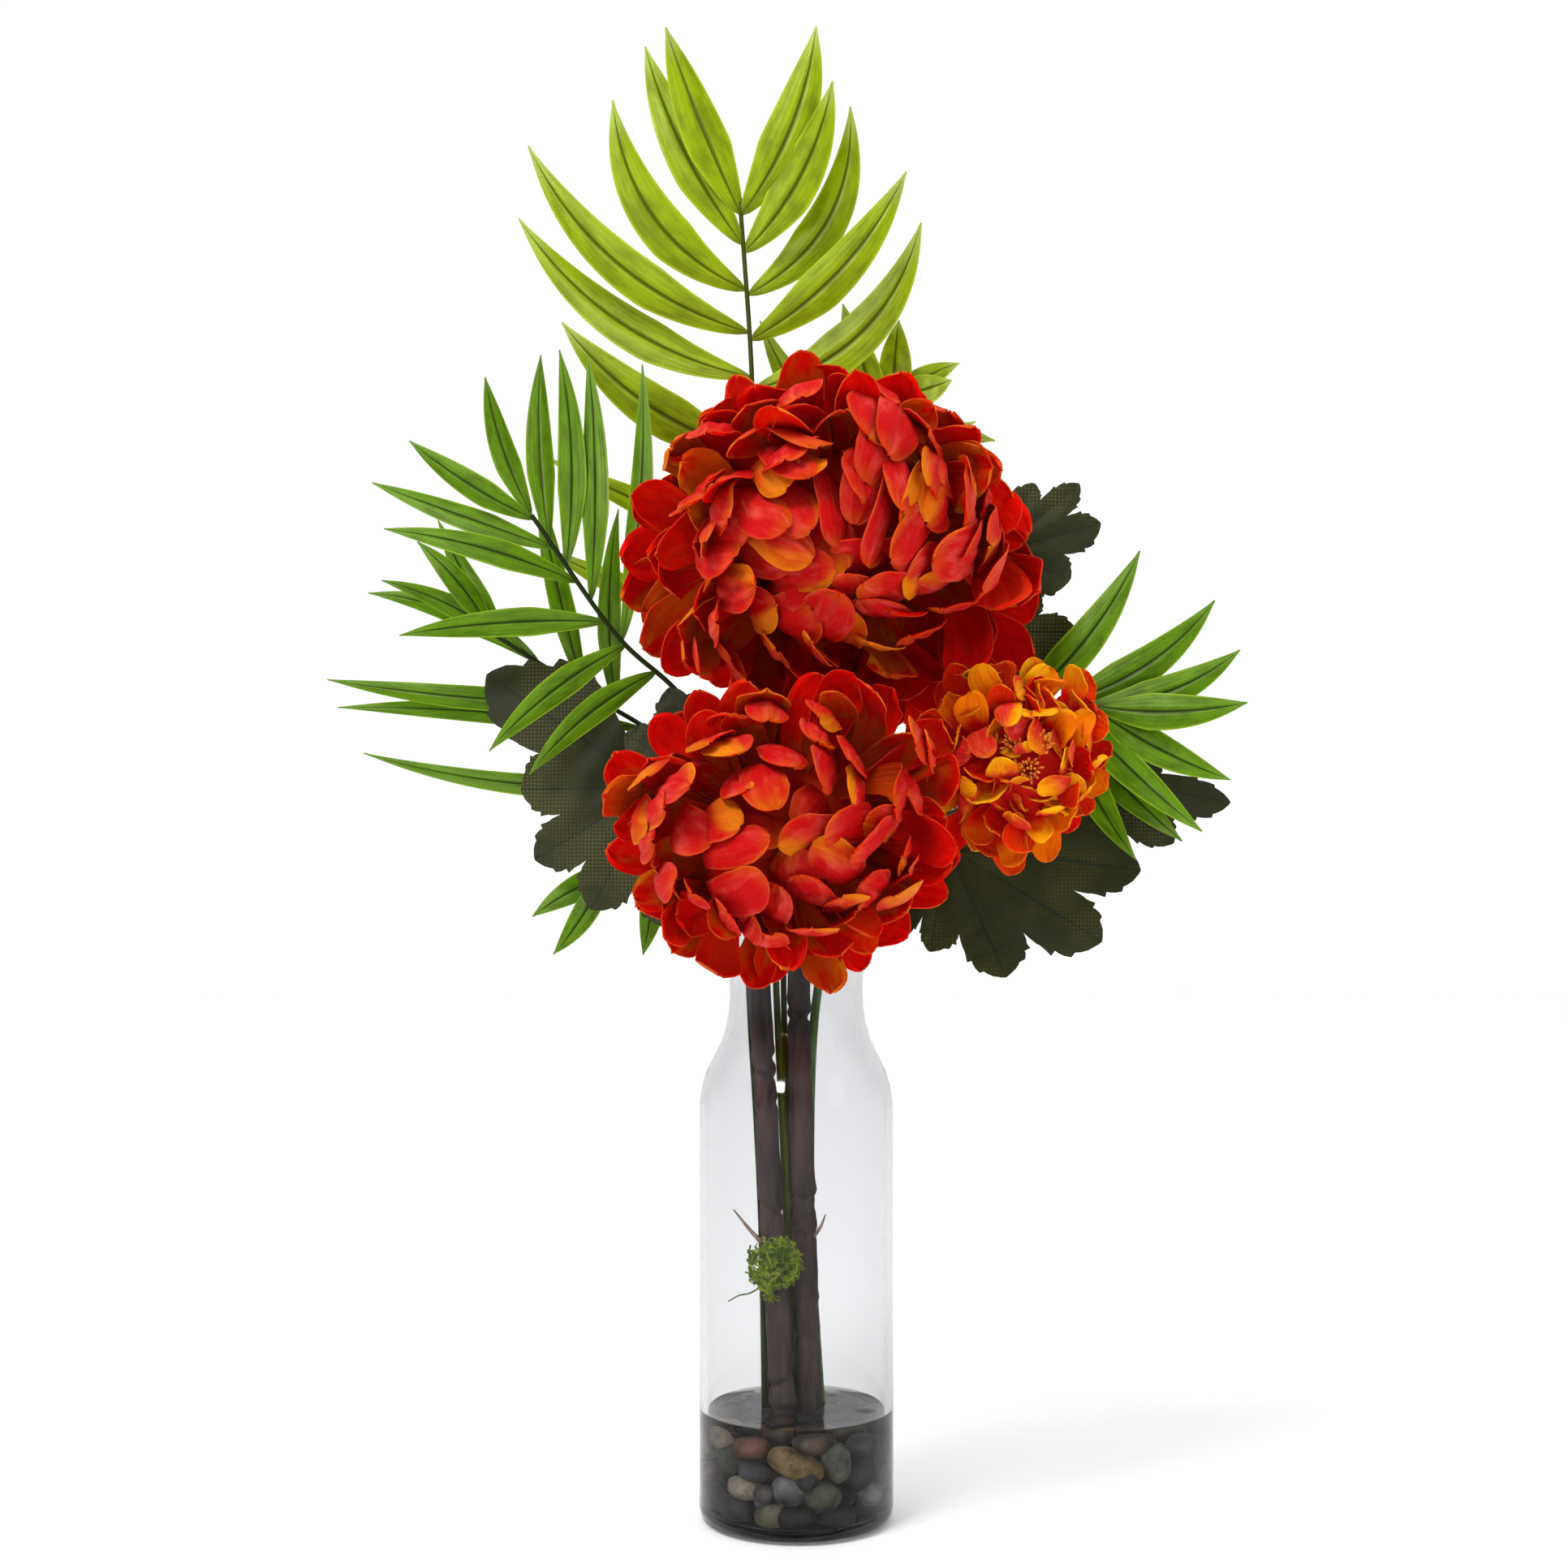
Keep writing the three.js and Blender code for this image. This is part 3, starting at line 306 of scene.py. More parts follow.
# Stones by the front of the glass: x, height, half width, half height, tilt, how far forward, and colour.
FRONT_STONES = [
    (-0.5, 28.5, 10.5, 5.2, -24, 31, (0.42, 0.27, 0.10)), (15.5, 28.4, 5.4, 7.6, 12, 27, (0.24, 0.26, 0.19)),
    (-3.3, 18.6, 6.2, 5.2, -25, 31, (0.24, 0.25, 0.25)), (9.8, 16.2, 7.2, 5.4, 8, 30, (0.20, 0.21, 0.13)),
    (-1, 9.6, 8.4, 5.0, 5, 31, (0.05, 0.05, 0.05)), (14.6, 8.8, 8.2, 4.8, -12, 27, (0.04, 0.045, 0.045)),
    (-9.3, 9.6, 6.4, 5.0, 4, 30, (0.22, 0.20, 0.12)), (-19.5, 18.4, 6.6, 4.4, -6, 24, (0.55, 0.48, 0.34)),
    (-24.5, 28.4, 6.0, 6.4, 30, 18, (0.10, 0.12, 0.08)), (-26.5, 35.0, 5.6, 3.6, -20, 15, (0.42, 0.33, 0.22)),
    (-17.2, 34.0, 7.2, 4.2, 10, 25, (0.24, 0.10, 0.07)), (-16.5, 25.2, 6.2, 4.0, -12, 27, (0.10, 0.11, 0.12)),
    (24.4, 33.4, 6.8, 4.6, -14, 18, (0.09, 0.10, 0.09)), (23.6, 22.8, 7.8, 6.8, 20, 20, (0.035, 0.035, 0.04)),
    (27.2, 14.4, 5.6, 4.6, 0, 15, (0.42, 0.42, 0.40)), (-22.6, 10, 7.6, 5.2, 8, 21, (0.05, 0.045, 0.05)),
    (6, 35.4, 8.0, 4.2, 6, 24, (0.14, 0.09, 0.06)), (-12, 17, 4.6, 3.8, 0, 30, (0.12, 0.11, 0.10)),
    (3.8, 22.8, 4.4, 3.6, 30, 31, (0.07, 0.06, 0.06)), (-13.5, 37.5, 6.6, 4, 0, -22, (0.46, 0.37, 0.26)),
    (14.6, 37.6, 6, 4, 0, -22, (0.07, 0.08, 0.08)), (21, 37.8, 5.2, 3.4, 10, -14, (0.45, 0.45, 0.42)),
]
PEBBLE_COLOURS = [
    (0.03, 0.03, 0.033), (0.06, 0.055, 0.05), (0.12, 0.10, 0.075), (0.22, 0.175, 0.12), (0.08, 0.09, 0.075),
    (0.10, 0.058, 0.045),
]
BACK_STONES, MIDDLE_STONES = 44, 24

# Moss: its middle, how far it reaches, how that is stretched along each axis, its clumps, the strands in
# each, and one strand that strays.
MOSS = dict(centre=(-6.8, 100.5, 12.5), radius=11.5, shape=(1.05, 1.2, 0.85), clumps=44, strands=20,
            stray=[(-12, 94, 14), (-17.6, 90.6, 15), (-22, 89.4, 14), (-25.8, 87.1, 14)])

# In the row's frame, in metres.
FLOOR_HALF = 2.4
FLOOR_HEIGHT = -0.0005
CAMERA = dict(place=(-0.0048, -0.950, 0.2864), lens=55.75)
LIGHTS = [
    dict(name="key_light", place_at=(-0.95, -1.15, 2.35), aim=(0, 0, 0.33), size=(0.8, 0.9), power=40),
    dict(name="fill_light", place_at=(1.4, -1.1, 0.8), aim=(0, 0, 0.3), size=(0.7, 0.9), power=5),
    dict(name="window_light", place_at=(-0.6, -1.6, 1.1), aim=(0, 0, 0.2), size=(0.3, 0.36), power=80,
         soft=False),
]

# ---------------------------------------------------------------- small helpers


def unit(v):
    """Vectors made one long."""
    return v / np.maximum(np.linalg.norm(v, axis=-1, keepdims=True), 1e-9)


def mix(a, b, t):
    return a + (b - a) * t


def smooth(edge0, edge1, x):
    t = np.clip((x - edge0) / (edge1 - edge0), 0, 1)
    return t * t * (3 - 2 * t)


def to_row(points):
    """Points in mm as seen from the front, in the row's frame in metres."""
    p = np.asarray(points, float)
    return np.stack([p[..., 0], -p[..., 2], p[..., 1]], axis=-1) / 1000


def run_along(path):
    """How far along a path each of its points is."""
    return np.concatenate([[0], np.cumsum(np.linalg.norm(np.diff(path, axis=0), axis=1))])


def at_run(where, run, path):
    """The points of a path at some distances along it."""
    return np.stack([np.interp(where, run, path[:, k]) for k in range(3)], axis=-1)


def curve_through(points, count):
    """Points evenly far apart on a smooth curve through the given ones."""
    p = np.array(points, float)
    ends = np.concatenate([[2 * p[0] - p[1]], p, [2 * p[-1] - p[-2]]])
    knots = np.concatenate([[0], np.cumsum(np.sqrt(np.linalg.norm(np.diff(ends, axis=0), axis=1)))])
    fine = []
    for k in range(1, len(ends) - 2):
        t = np.linspace(knots[k], knots[k + 1], 25)[:, None]
        near, knot = ends[k - 1:k + 3], knots[k - 1:k + 3]
        at = (lambda a, b, i, j: (knot[j] - t) / (knot[j] - knot[i]) * a
              + (t - knot[i]) / (knot[j] - knot[i]) * b)
        near = [at(near[i], near[i + 1], i, i + 1) for i in range(3)]
        near = [at(near[i], near[i + 1], i, i + 2) for i in range(2)]
        fine.append(at(*near, 1, 2))
    fine = np.concatenate(fine)
    run = run_along(fine)
    return at_run(np.linspace(0, run[-1], count), run, fine)


def bezier(a, b, c, t):
    t = np.asarray(t)[:, None]
    return (1 - t) ** 2 * a + 2 * t * (1 - t) * b + t * t * c


def direction(polar, azimuth):
    """The way at so many degrees from the z axis, and so many radians round it."""
    s = math.sin(math.radians(polar))
    return np.array([s * math.cos(azimuth), s * math.sin(azimuth), math.cos(math.radians(polar))])


def add_object(name, data):
    obj = bpy.data.objects.new(name, data)
    bpy.context.scene.collection.objects.link(obj)
    return obj


class Draw(random.Random):
    """Seeded random numbers."""

    def spread(self):
        return self.uniform(-1, 1)

    def spreads(self):
        return np.array([self.spread() for _ in range(3)])


class Skin:
    """The points and faces of one piece. For its colours each point keeps three numbers, its mark, and its
    side, which is 1 on the inner face of a sheet and 0 on the outer one."""

    def __init__(self):
        self.points, self.faces, self.marks, self.sides, self.count = [], [], [], [], 0

    def add(self, points, faces, marks, sides):
        points = np.asarray(points, float).reshape(-1, 3)
        self.points.append(points)
        self.faces.extend([tuple(int(k) + self.count for k in face) for face in faces])
        self.marks.append(np.broadcast_to(np.asarray(marks, float), (len(points), 3)))
        self.sides.append(np.broadcast_to(np.asarray(sides, float), (len(points),)))
        self.count += len(points)

    def piece(self, name, material, slot, sharp=50):
        """The finished piece that stands for the node of this name."""
        mesh = bpy.data.meshes.new(name + "_looks")
        mesh.from_pydata(to_row(np.concatenate(self.points)).tolist(), [], self.faces)
        marks = mesh.attributes.new("mark", "FLOAT_VECTOR", "POINT")
        marks.data.foreach_set("vector", np.concatenate(self.marks).astype(np.float32).ravel())
        sides = mesh.attributes.new("side", "FLOAT", "POINT")
        sides.data.foreach_set("value", np.concatenate(self.sides).astype(np.float32))
        mesh.shade_smooth()
        mesh.set_sharp_from_angle(angle=math.radians(sharp))
        mesh.materials.append(material)
        mesh.validate()
        mesh.update()
        obj = add_object(name + "_looks", mesh)
        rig.ride(obj, "root")
        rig.replaces(obj, name)
        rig.slot(obj, slot)


FACES = {}


def sheet_faces(rows, cols):
    """The faces of a closed sheet of rows x cols points a side, and the rim between its two sides."""
    if (rows, cols) not in FACES:
        n = rows * cols
        quads = [(i * cols + j, i * cols + j + 1, (i + 1) * cols + j + 1, (i + 1) * cols + j)
                 for i in range(rows - 1) for j in range(cols - 1)]
        rim = [j for j in range(cols)] + [i * cols + cols - 1 for i in range(1, rows)]
        rim += ([(rows - 1) * cols + j for j in range(cols - 2, -1, -1)]
                + [i * cols for i in range(rows - 2, 0, -1)])
        edges = [(n + a, n + b, b, a) for a, b in zip(rim, rim[1:] + rim[:1])]
        FACES[rows, cols] = quads + [tuple(n + k for k in quad[::-1]) for quad in quads] + edges
    return FACES[rows, cols]


def sheet(skin, grid, thickness, tint, across, along):
    """A closed sheet over a grid of points. Its marks are how far across and along it a point is, and its
    tint."""
    rows, cols = grid.shape[:2]
    normal = unit(np.cross(np.gradient(grid, axis=1), np.gradient(grid, axis=0)))
    marks = np.zeros((rows, cols, 3))
    marks[..., 0] = across[None, :] if across.ndim == 1 else across
    marks[..., 1] = along[:, None] if along.ndim == 1 else along
    marks[..., 2] = tint
    both = [(grid + normal * thickness / 2).reshape(-1, 3), (grid - normal * thickness / 2).reshape(-1, 3)]
    sides = np.repeat([1.0, 0.0], rows * cols)
    skin.add(np.concatenate(both), sheet_faces(rows, cols), np.concatenate([marks.reshape(-1, 3)] * 2), sides)


def blade_frame(path, side):
    """For each point of a path: the way across it and the way to its inner face."""
    along = unit(np.gradient(path, axis=0))
    level = unit(side - (side * along).sum(1, keepdims=True) * along)
    return level, np.cross(level, along)


def swept(path, level, inner, out, lift):
    """A grid of points that lie so far out across a path and so far towards its inner face."""
    return path[:, None] + level[:, None] * out[..., None] + inner[:, None] * lift[..., None]


def tube(skin, path, radii, sides, tint, bumps=0):
    """A closed round tube along a path. bumps is a share by which each point of it stands out."""
    rows = len(path)
    start = path[1] - path[0]
    across_x = abs(start[0]) < 0.9 * np.linalg.norm(start)
    level, inner = blade_frame(path, np.array([1.0, 0, 0]) if across_x else np.array([0, 0, 1.0]))
    angle = 2 * math.pi * np.arange(sides) / sides
    reach = np.asarray(radii, float)[:, None] * (1 + bumps)
    turn = level[:, None] * np.cos(angle)[None, :, None] + inner[:, None] * np.sin(angle)[None, :, None]
    faces = [(i * sides + j, (i + 1) * sides + j, (i + 1) * sides + (j + 1) % sides,
              i * sides + (j + 1) % sides)
             for i in range(rows - 1) for j in range(sides)]
    faces.append(tuple(range(sides)))
    faces.append(tuple((rows - 1) * sides + j for j in range(sides - 1, -1, -1)))
    marks = np.zeros((rows, sides, 3))
    marks[..., 0] = np.arange(sides)[None] / sides
    marks[..., 1] = np.linspace(0, 1, rows)[:, None]
    marks[..., 2] = tint
    skin.add(path[:, None] + reach[..., None] * turn, faces, marks.reshape(-1, 3), 0)


def ball_faces(rings, cols):
    """The faces over rings of points round an axis, with one more point at each end of it."""
    faces, last = [], 1 + rings * cols
    for j in range(cols):
        k = (j + 1) % cols
        faces.append((0, 1 + j, 1 + k))
        for a in range(1, last - cols, cols):
            faces.append((a + j, a + cols + j, a + cols + k, a + k))
        faces.append((last - cols + j, last, last - cols + k))
    return faces


def ball():
    """The points and faces of a ball of radius 1."""
    rows, cols = 14, 20
    rings = [direction(p, 2 * math.pi * k / cols) for p in np.linspace(0, 180, rows)[1:-1]
             for k in range(cols)]
    return [direction(0, 0)] + rings + [direction(180, 0)], ball_faces(rows - 2, cols)


def lathe(profile, segments):
    """A body turned round the y axis, from a profile of radius and height that starts and ends on the
    axis."""
    angle = 2 * math.pi * np.arange(segments) / segments
    points = [(0, profile[0][1], 0)]
    for r, h in profile[1:-1]:
        points.extend(zip(r * np.cos(angle), [h] * segments, r * np.sin(angle)))
    points.append((0, profile[-1][1], 0))
    return np.array(points, float), ball_faces(len(profile) - 2, segments)


# ---------------------------------------------------------------- flower heads


def head_turn(head):
    """The matrix that turns a head's own frame, whose +z is its axis, into the arrangement's."""
    nod, turn = (np.array(Euler(angles).to_matrix()) for angles in (
        (math.radians(head["nod"]), 0, 0), (0, math.radians(head["turn"]), 0)))
    return turn @ nod


def placed(head, points):
    return points @ head_turn(head).T + np.array(head["centre"], float)


def drawn_back(head, others):
    """Draws a point of one head back towards its centre where it would reach another head."""
    matrix = head_turn(head)
    walls = []
    for other in others:
        away = np.array(other["centre"], float) - np.array(head["centre"], float)
        mine, theirs = sum(head["size"][:2]), sum(other["size"][:2])
        reach = np.linalg.norm(away)
        walls.append((away / reach, reach * mine / (mine + theirs) + HEAD_OVERLAP))

    def clear(point):
        p = matrix @ point
        share = min([1.0] + [limit / max(limit, float(p @ away)) for away, limit in walls])
        return point * share

    return clear


def flat_behind(p):
    return np.array([p[0], p[1], p[2] * CORE_BACK if p[2] < 0 else p[2]])


# A petal's middle line in its plane through the axis: how far back from its tip, in degrees, and how far out,
# over the head's own radius, each of its points is. A shut petal arches in over the head, and an open one
# spreads.
SHUT = np.array([(52, 0.42), (48, 0.70), (34, 0.90), (13, 0.99), (0, 0.99)])
OPEN = np.array([(7, 0.40), (9, 0.62), (6, 0.80), (1, 0.94), (-5, 1.04)])
LINE_WANDER = np.array([[0, 0], [0, 0], [3, 0.02], [3, 0.02], [0, 0]])
LINE_POINTS = 60


def petal_outline(t, tip, power, root):
    """A petal's width over its greatest one at a share of its length: narrow at the root and round at the
    tip."""
    swell = root + (1 - root) * smooth(0, 1 - tip, t)
    return swell * np.sqrt(np.clip(1 - np.clip((t - 1 + tip) / (1.01 * tip), 0, 1) ** power, 0, 1))


def petal(skin, head, clear, draw, polar, azimuth, openness, reach, width, detail):
    """One cloth petal: a cupped sheet on a curved middle line, creased, rolled at its tip and ragged at its
    edge."""
    rows, cols, thickness = detail
    t = 1 - (1 - np.linspace(0, 1, rows)) ** 1.5
    s = np.linspace(-1, 1, cols)
    knots = mix(SHUT, OPEN, np.clip(openness, 0, 1.25)) + LINE_WANDER * draw.spread()
    root_azimuth = azimuth + 0.3 * draw.spread()
    way = smooth(0, 1, np.linspace(0, 1, len(knots)))
    line = [flat_behind(direction(polar + back, mix(root_azimuth, azimuth, w))) * out * (reach if k else 0.95)
            for k, ((back, out), w) in enumerate(zip(knots, way))]
    line = curve_through([clear(point * np.array(head["size"], float)) for point in line], LINE_POINTS)
    path = at_run(t, np.linspace(0, 1, LINE_POINTS), line)
    level, inner = blade_frame(path, np.array([math.sin(azimuth), -math.cos(azimuth), 0]))
    shut = 1 - min(1.0, max(0.0, openness))
    roll = mix(0.18, 0.42, shut) + mix(0.42, 0.26, shut) * draw.spread() + 0.3 * draw.spread() * t
    level, inner = (level * np.cos(roll)[:, None] + inner * np.sin(roll)[:, None],
                    inner * np.cos(roll)[:, None] - level * np.sin(roll)[:, None])
    curl = draw.uniform(0.1, 0.9) if draw.random() < mix(0.65, 0.3, shut) else -draw.uniform(0.2, 1.0)
    path = path + inner * (curl * 0.24 * width * smooth(0.6, 1, t) ** 2)[:, None]
    path = path + level * (0.12 * width * draw.spread() * smooth(0.3, 1, t))[:, None]
    tip = min(0.45, draw.uniform(0.55, 0.8) * width / np.linalg.norm(np.diff(path, axis=0), axis=1).sum())
    half = 0.5 * width * petal_outline(t, tip, draw.uniform(1.8, 2.6), 0.4)
    bend = draw.uniform(*head["cup"]) * mix(1, 0.62, shut) * (1 - 0.3 * smooth(0.7, 1, t))
    angle = bend[:, None] * s[None]
    ragged = 1 + np.array([[0.03 * draw.spread() * abs(x) ** 6 for x in s] for _ in t])
    out = half[:, None] / bend[:, None] * np.sin(angle) * ragged
    lift = half[:, None] / bend[:, None] * (1 - np.cos(angle))
    lift = (lift + draw.uniform(-0.07, 0.05) * width * np.exp(-(s[None] / 0.2) ** 2)
            * smooth(0.25, 0.9, t)[:, None])
    pleats = draw.uniform(0.012, 0.03) if draw.random() < 0.5 else 0.0
    lift = lift + pleats * width * np.cos(9.5 * s + draw.spread())[None] * smooth(0.35, 0.75, t)[:, None]
    phase, waves = draw.uniform(0, 6.28), draw.uniform(6, 11)
    wave = np.sin(waves * t[:, None] + phase + 1.5 * np.sign(s)[None]) * np.abs(s[None]) ** 3
    lift = lift + 0.05 * width * wave * smooth(0.3, 0.8, t)[:, None]
    grid = swept(path, level, inner, out, lift)
    sheet(skin, placed(head, grid.reshape(-1, 3)).reshape(rows, cols, 3), thickness, draw.random(), s, t)


def mum_petals(skin, head, others, detail):
    """Petals in a spiral round a core, shut over its middle and open at its rim and towards the head's open
    side, and the petals behind its rim."""
    draw = Draw(head["seed"])
    clear = drawn_back(head, others)
    side, more = head["open_side"]
    for k in range(head["petals"]):
        level = (k + 0.5) / head["petals"]
        polar = math.degrees(math.acos(1 - level * (1 - math.cos(math.radians(head["last"])))))
        polar += 3.5 * draw.spread() + head["first"] * (1 - level) ** 6
        azimuth = k * GOLDEN_ANGLE + 0.14 * draw.spread()
        facing = math.cos(azimuth - math.radians(side))
        facing *= 1 if facing > 0 else 0.3
        openness = (float(smooth(*head["opens"], polar + more * facing))
                    + 0.22 * draw.spread() * min(1, polar / 40))
        reach = (mix(head["inner_reach"], 1, min(1, max(polar, 0) / 95) ** 0.85)
                 * (1 + head["uneven"] * draw.spread()))
        outer = float(smooth(35, 80, polar))
        reach *= 1 + 0.05 * outer * draw.spread()
        for at, more_reach in head["corners"]:
            reach *= 1 + more_reach * outer * max(0.0, math.cos(azimuth - math.radians(at))) ** 5
        width = mix(*head["width"], level) * (1 + 0.15 * draw.spread())
        petal(skin, head, clear, draw, polar, azimuth, openness, reach, width, detail)
    for k in range(head["behind"]):
        polar = 116 + 26 * (k + 0.5) / head["behind"]
        azimuth = k * GOLDEN_ANGLE + 0.2 * draw.spread()
        reach = mix(0.92, 0.7, k / head["behind"])
        petal(skin, head, clear, draw, polar, azimuth, 1, reach, head["width"][1], detail)


def head_core(skin, head):
    """The small core that the petals stand out of."""
    points, faces = ball()
    points = np.array([flat_behind(p) for p in points])
    points[:, 2] *= np.where(points[:, 2] > 0, head["core_front"] / CORE, 1)
    points[:, 2] *= head["core_depth"] / head["size"][2]
    skin.add(placed(head, points * np.array(head["size"]) * CORE), faces, (0, 0.2, 0.5), 0.5)


def head_piece(name, head, others, blooms, material, slot, detail):
    """A head's core and the petals of its blooms, which bow down further than the core."""
    skin = Skin()
    head_core(skin, head)
    for bloom in blooms:
        mum_petals(skin, dict(bloom, nod=bloom["nod"] + bloom["bow"]), others, detail)
    skin.piece(name, material, slot, sharp=60)


def calyx_piece(name, head, stem_radius, scale, material):
    """The green cup behind a head and its sepals, spread under the petals."""
    skin = Skin()
    draw = Draw(head["seed"] + 40)
    back = -head["core_depth"] * CORE * CORE_BACK - 0.3
    depth = CALYX["depth"] * scale
    radius = CALYX["radius"] * scale
    rings = [(0, 0), (radius * 0.7, 0.05), (radius * 0.95, -0.12), (radius, -0.3), (radius * 0.86, -0.62),
             (radius * 0.55, -0.88), (stem_radius + 0.6, -1), (0, -1)]
    points, faces = lathe([(r, h * depth) for r, h in rings], 24)
    points = np.stack([points[:, 0], points[:, 2], points[:, 1] + back], axis=1)
    skin.add(placed(head, points), faces, (0, 0.2, 0.5), 0)
    t = np.linspace(0, 1, 10)
    s = np.linspace(-1, 1, 5)
    for k in range(CALYX["sepals"]):
        azimuth = 2 * math.pi * k / CALYX["sepals"]
        out = np.array([math.cos(azimuth), math.sin(azimuth), 0])
        at = lambda r, z: out * r * scale + np.array([0, 0, back + z * scale])
        path = bezier(at(5, -3), at(11, -3.5), at(CALYX["length"], -2 + draw.spread()), t)
        level, inner = blade_frame(path, np.array([math.sin(azimuth), -math.cos(azimuth), 0]))
        half = (0.5 * CALYX["width"] * scale * (0.5 + 0.5 * smooth(0, 0.5, t))
                * np.sqrt(1 - np.clip(t, 0, 0.995) ** 3))
        grid = swept(path, level, inner, half[:, None] * s[None], 0.15 * half[:, None] * s[None] ** 2)
        sheet(skin, placed(head, grid.reshape(-1, 3)).reshape(grid.shape), 0.6, draw.random(), s, t)
    skin.piece(name, material, "green_stem")


# ---------------------------------------------------------------- stems


def stem_end(head, scale):
    """The last points of a stem, which comes straight into the back of its calyx."""
    back = head["core_depth"] * CORE * CORE_BACK + CALYX["depth"] * scale + 0.6
    return [tuple(placed(head, np.array([0.0, 0.0, -z]))) for z in (back + 12, back)]


def bark_bumps(rows, sides, seed, length):
    """Lengthwise ridges that wander, cross cracks and a wrapped joint here and there, as shares of the
    radius."""
    draw = Draw(seed)
    angle = 2 * math.pi * np.arange(sides) / sides
    run = np.linspace(0, length, rows)
    ridges = np.zeros((rows, sides))
    for i, y in enumerate(run):
        for j, a in enumerate(angle):
            at = Vector((2.1 * math.cos(a), 2.1 * math.sin(a), y * 0.035 + seed))
            ridges[i, j] = (noise.noise(at * 1.7) * 0.1
                            + noise.noise(Vector((at.x * 4.5, at.y * 4.5, y * 0.09))) * 0.07)
    joints = sorted(draw.uniform(20, length - 30) for _ in range(11))
    for at in joints:
        lean = draw.uniform(-0.7, 0.7)
        line = at + 5 * lean * np.cos(angle + draw.uniform(0, 6))[None]
        ridges -= draw.uniform(0.14, 0.26) * np.exp(-((run[:, None] - line) / 1.5) ** 2)
        ridges += draw.uniform(0.06, 0.16) * np.exp(-((run[:, None] - line - 3) / 2.4) ** 2)
    return ridges


def woody_stem(name, points, twig, seed, material):
    skin = Skin()
    rows, sides = 320, 28
    path = curve_through(points, rows)
    length = float(np.linalg.norm(np.diff(path, axis=0), axis=1).sum())
    tube(skin, path, mix(*BROWN_RADIUS, np.linspace(0, 1, rows)), sides, 0.4,
         bark_bumps(rows, sides, seed, length))
    tube(skin, curve_through(twig, 14), mix(1.3, 0.25, np.linspace(0, 1, 14)), 8, TWIG_TINT)
    skin.piece(name, material, "bark")


def green_stem(name, points, material):
    skin = Skin()
    tube(skin, curve_through(points, 90), np.linspace(*GREEN_RADIUS, 90), 12, 0.5)
    skin.piece(name, material, "green_stem")


# ---------------------------------------------------------------- fronds and leaves


def frond(name, data, seed, material, slot):
    """A midrib and its leaflets: lance-shaped blades folded along a midrib of their own, with drawn-out
    tips."""
    skin = Skin()
    draw = Draw(seed)
    rib = curve_through(data["rib"], 160)
    run = run_along(rib)
    radius = (mix(*RIB_RADIUS, np.linspace(0, 1, 160))
              + data.get("thick", 0) * (1 - smooth(120, 230, rib[:, 1])))
    tube(skin, rib, radius, 10, STALK_TINT)
    t = np.linspace(0, 1, 30)
    s = np.array([-1, -0.86, -0.6, -0.3, -0.1, 0, 0.1, 0.3, 0.6, 0.86, 1])
    for back, tip, bow in data["leaflets"]:
        root = at_run(run[-1] - back, run, rib)
        tip = np.array(tip, float)
        way = tip - root
        path = bezier(root, root + 0.5 * way + bow * np.cross([0, 0, 1.0], way), tip, t)
        side = unit(np.cross(way, [0, 0, 1.0]))
        twist = 0.4 * draw.spread()
        side = side * math.cos(twist) + np.cross(unit(way), side) * math.sin(twist)
        level, inner = blade_frame(path, side)
        path = path + inner * (draw.uniform(-4, 4) * np.sin(math.pi * t))[:, None]
        width = data["width"] * (1 + 0.06 * draw.spread())
        shape = (t / 0.36) ** 0.62 * (t < 0.36) + (t >= 0.36) * (1 - np.clip((t - 0.36) / 0.64, 0, 1) ** 2.1)
        half = 0.5 * width * np.maximum(shape, 0.035)
        fold = (0.2 * half[:, None] * (1 - np.abs(s[None]))
                - 0.14 * half[:, None] * np.exp(-(s[None] / 0.09) ** 2))
        ripple = 0.05 * half[:, None] * np.sin(9 * t + draw.uniform(0, 6))[:, None] * s[None] ** 2
        grid = swept(path, level, inner, half[:, None] * s[None], fold + ripple)
        sheet(skin, grid, 0.45, draw.uniform(0.05, 1), s, t)
    skin.piece(name, material, slot, sharp=65)


def leaf_edge(notch, tip, teeth, slit):
    """The edge from the notch beside a lobe to its tip, with forward teeth. Two lobes with a slit between run
    close."""
    length = float(tip @ tip)
    across = np.array([tip[1], -tip[0]])
    far, wide = float(notch @ tip) / length, float(notch @ across) / length
    edge = []
    for k in range(teeth):
        for phase in (0.03, 0.3, 0.6, 0.9, 0.999):
            t = (k + phase) / teeth
            if slit:
                base = mix(far, 1, t) / far * (1 - t ** 2.4) ** 0.85 * (1 - 0.05 * min(1, 4 * t))
            else:
                base = (1 - t ** 2.3) ** 0.72 * (1 + 0.16 * math.sin(math.pi * min(1, t * 1.7)))
            tooth = (phase - 0.5) * 0.24 * (1 - 0.45 * t) * (smooth(0.2, 0.5, t) if slit else min(1, 7 * t))
            edge.append(tip * mix(far, 1, t) + across * wide * (base + tooth * (t < 0.97)))
    return np.array(edge[:-1])


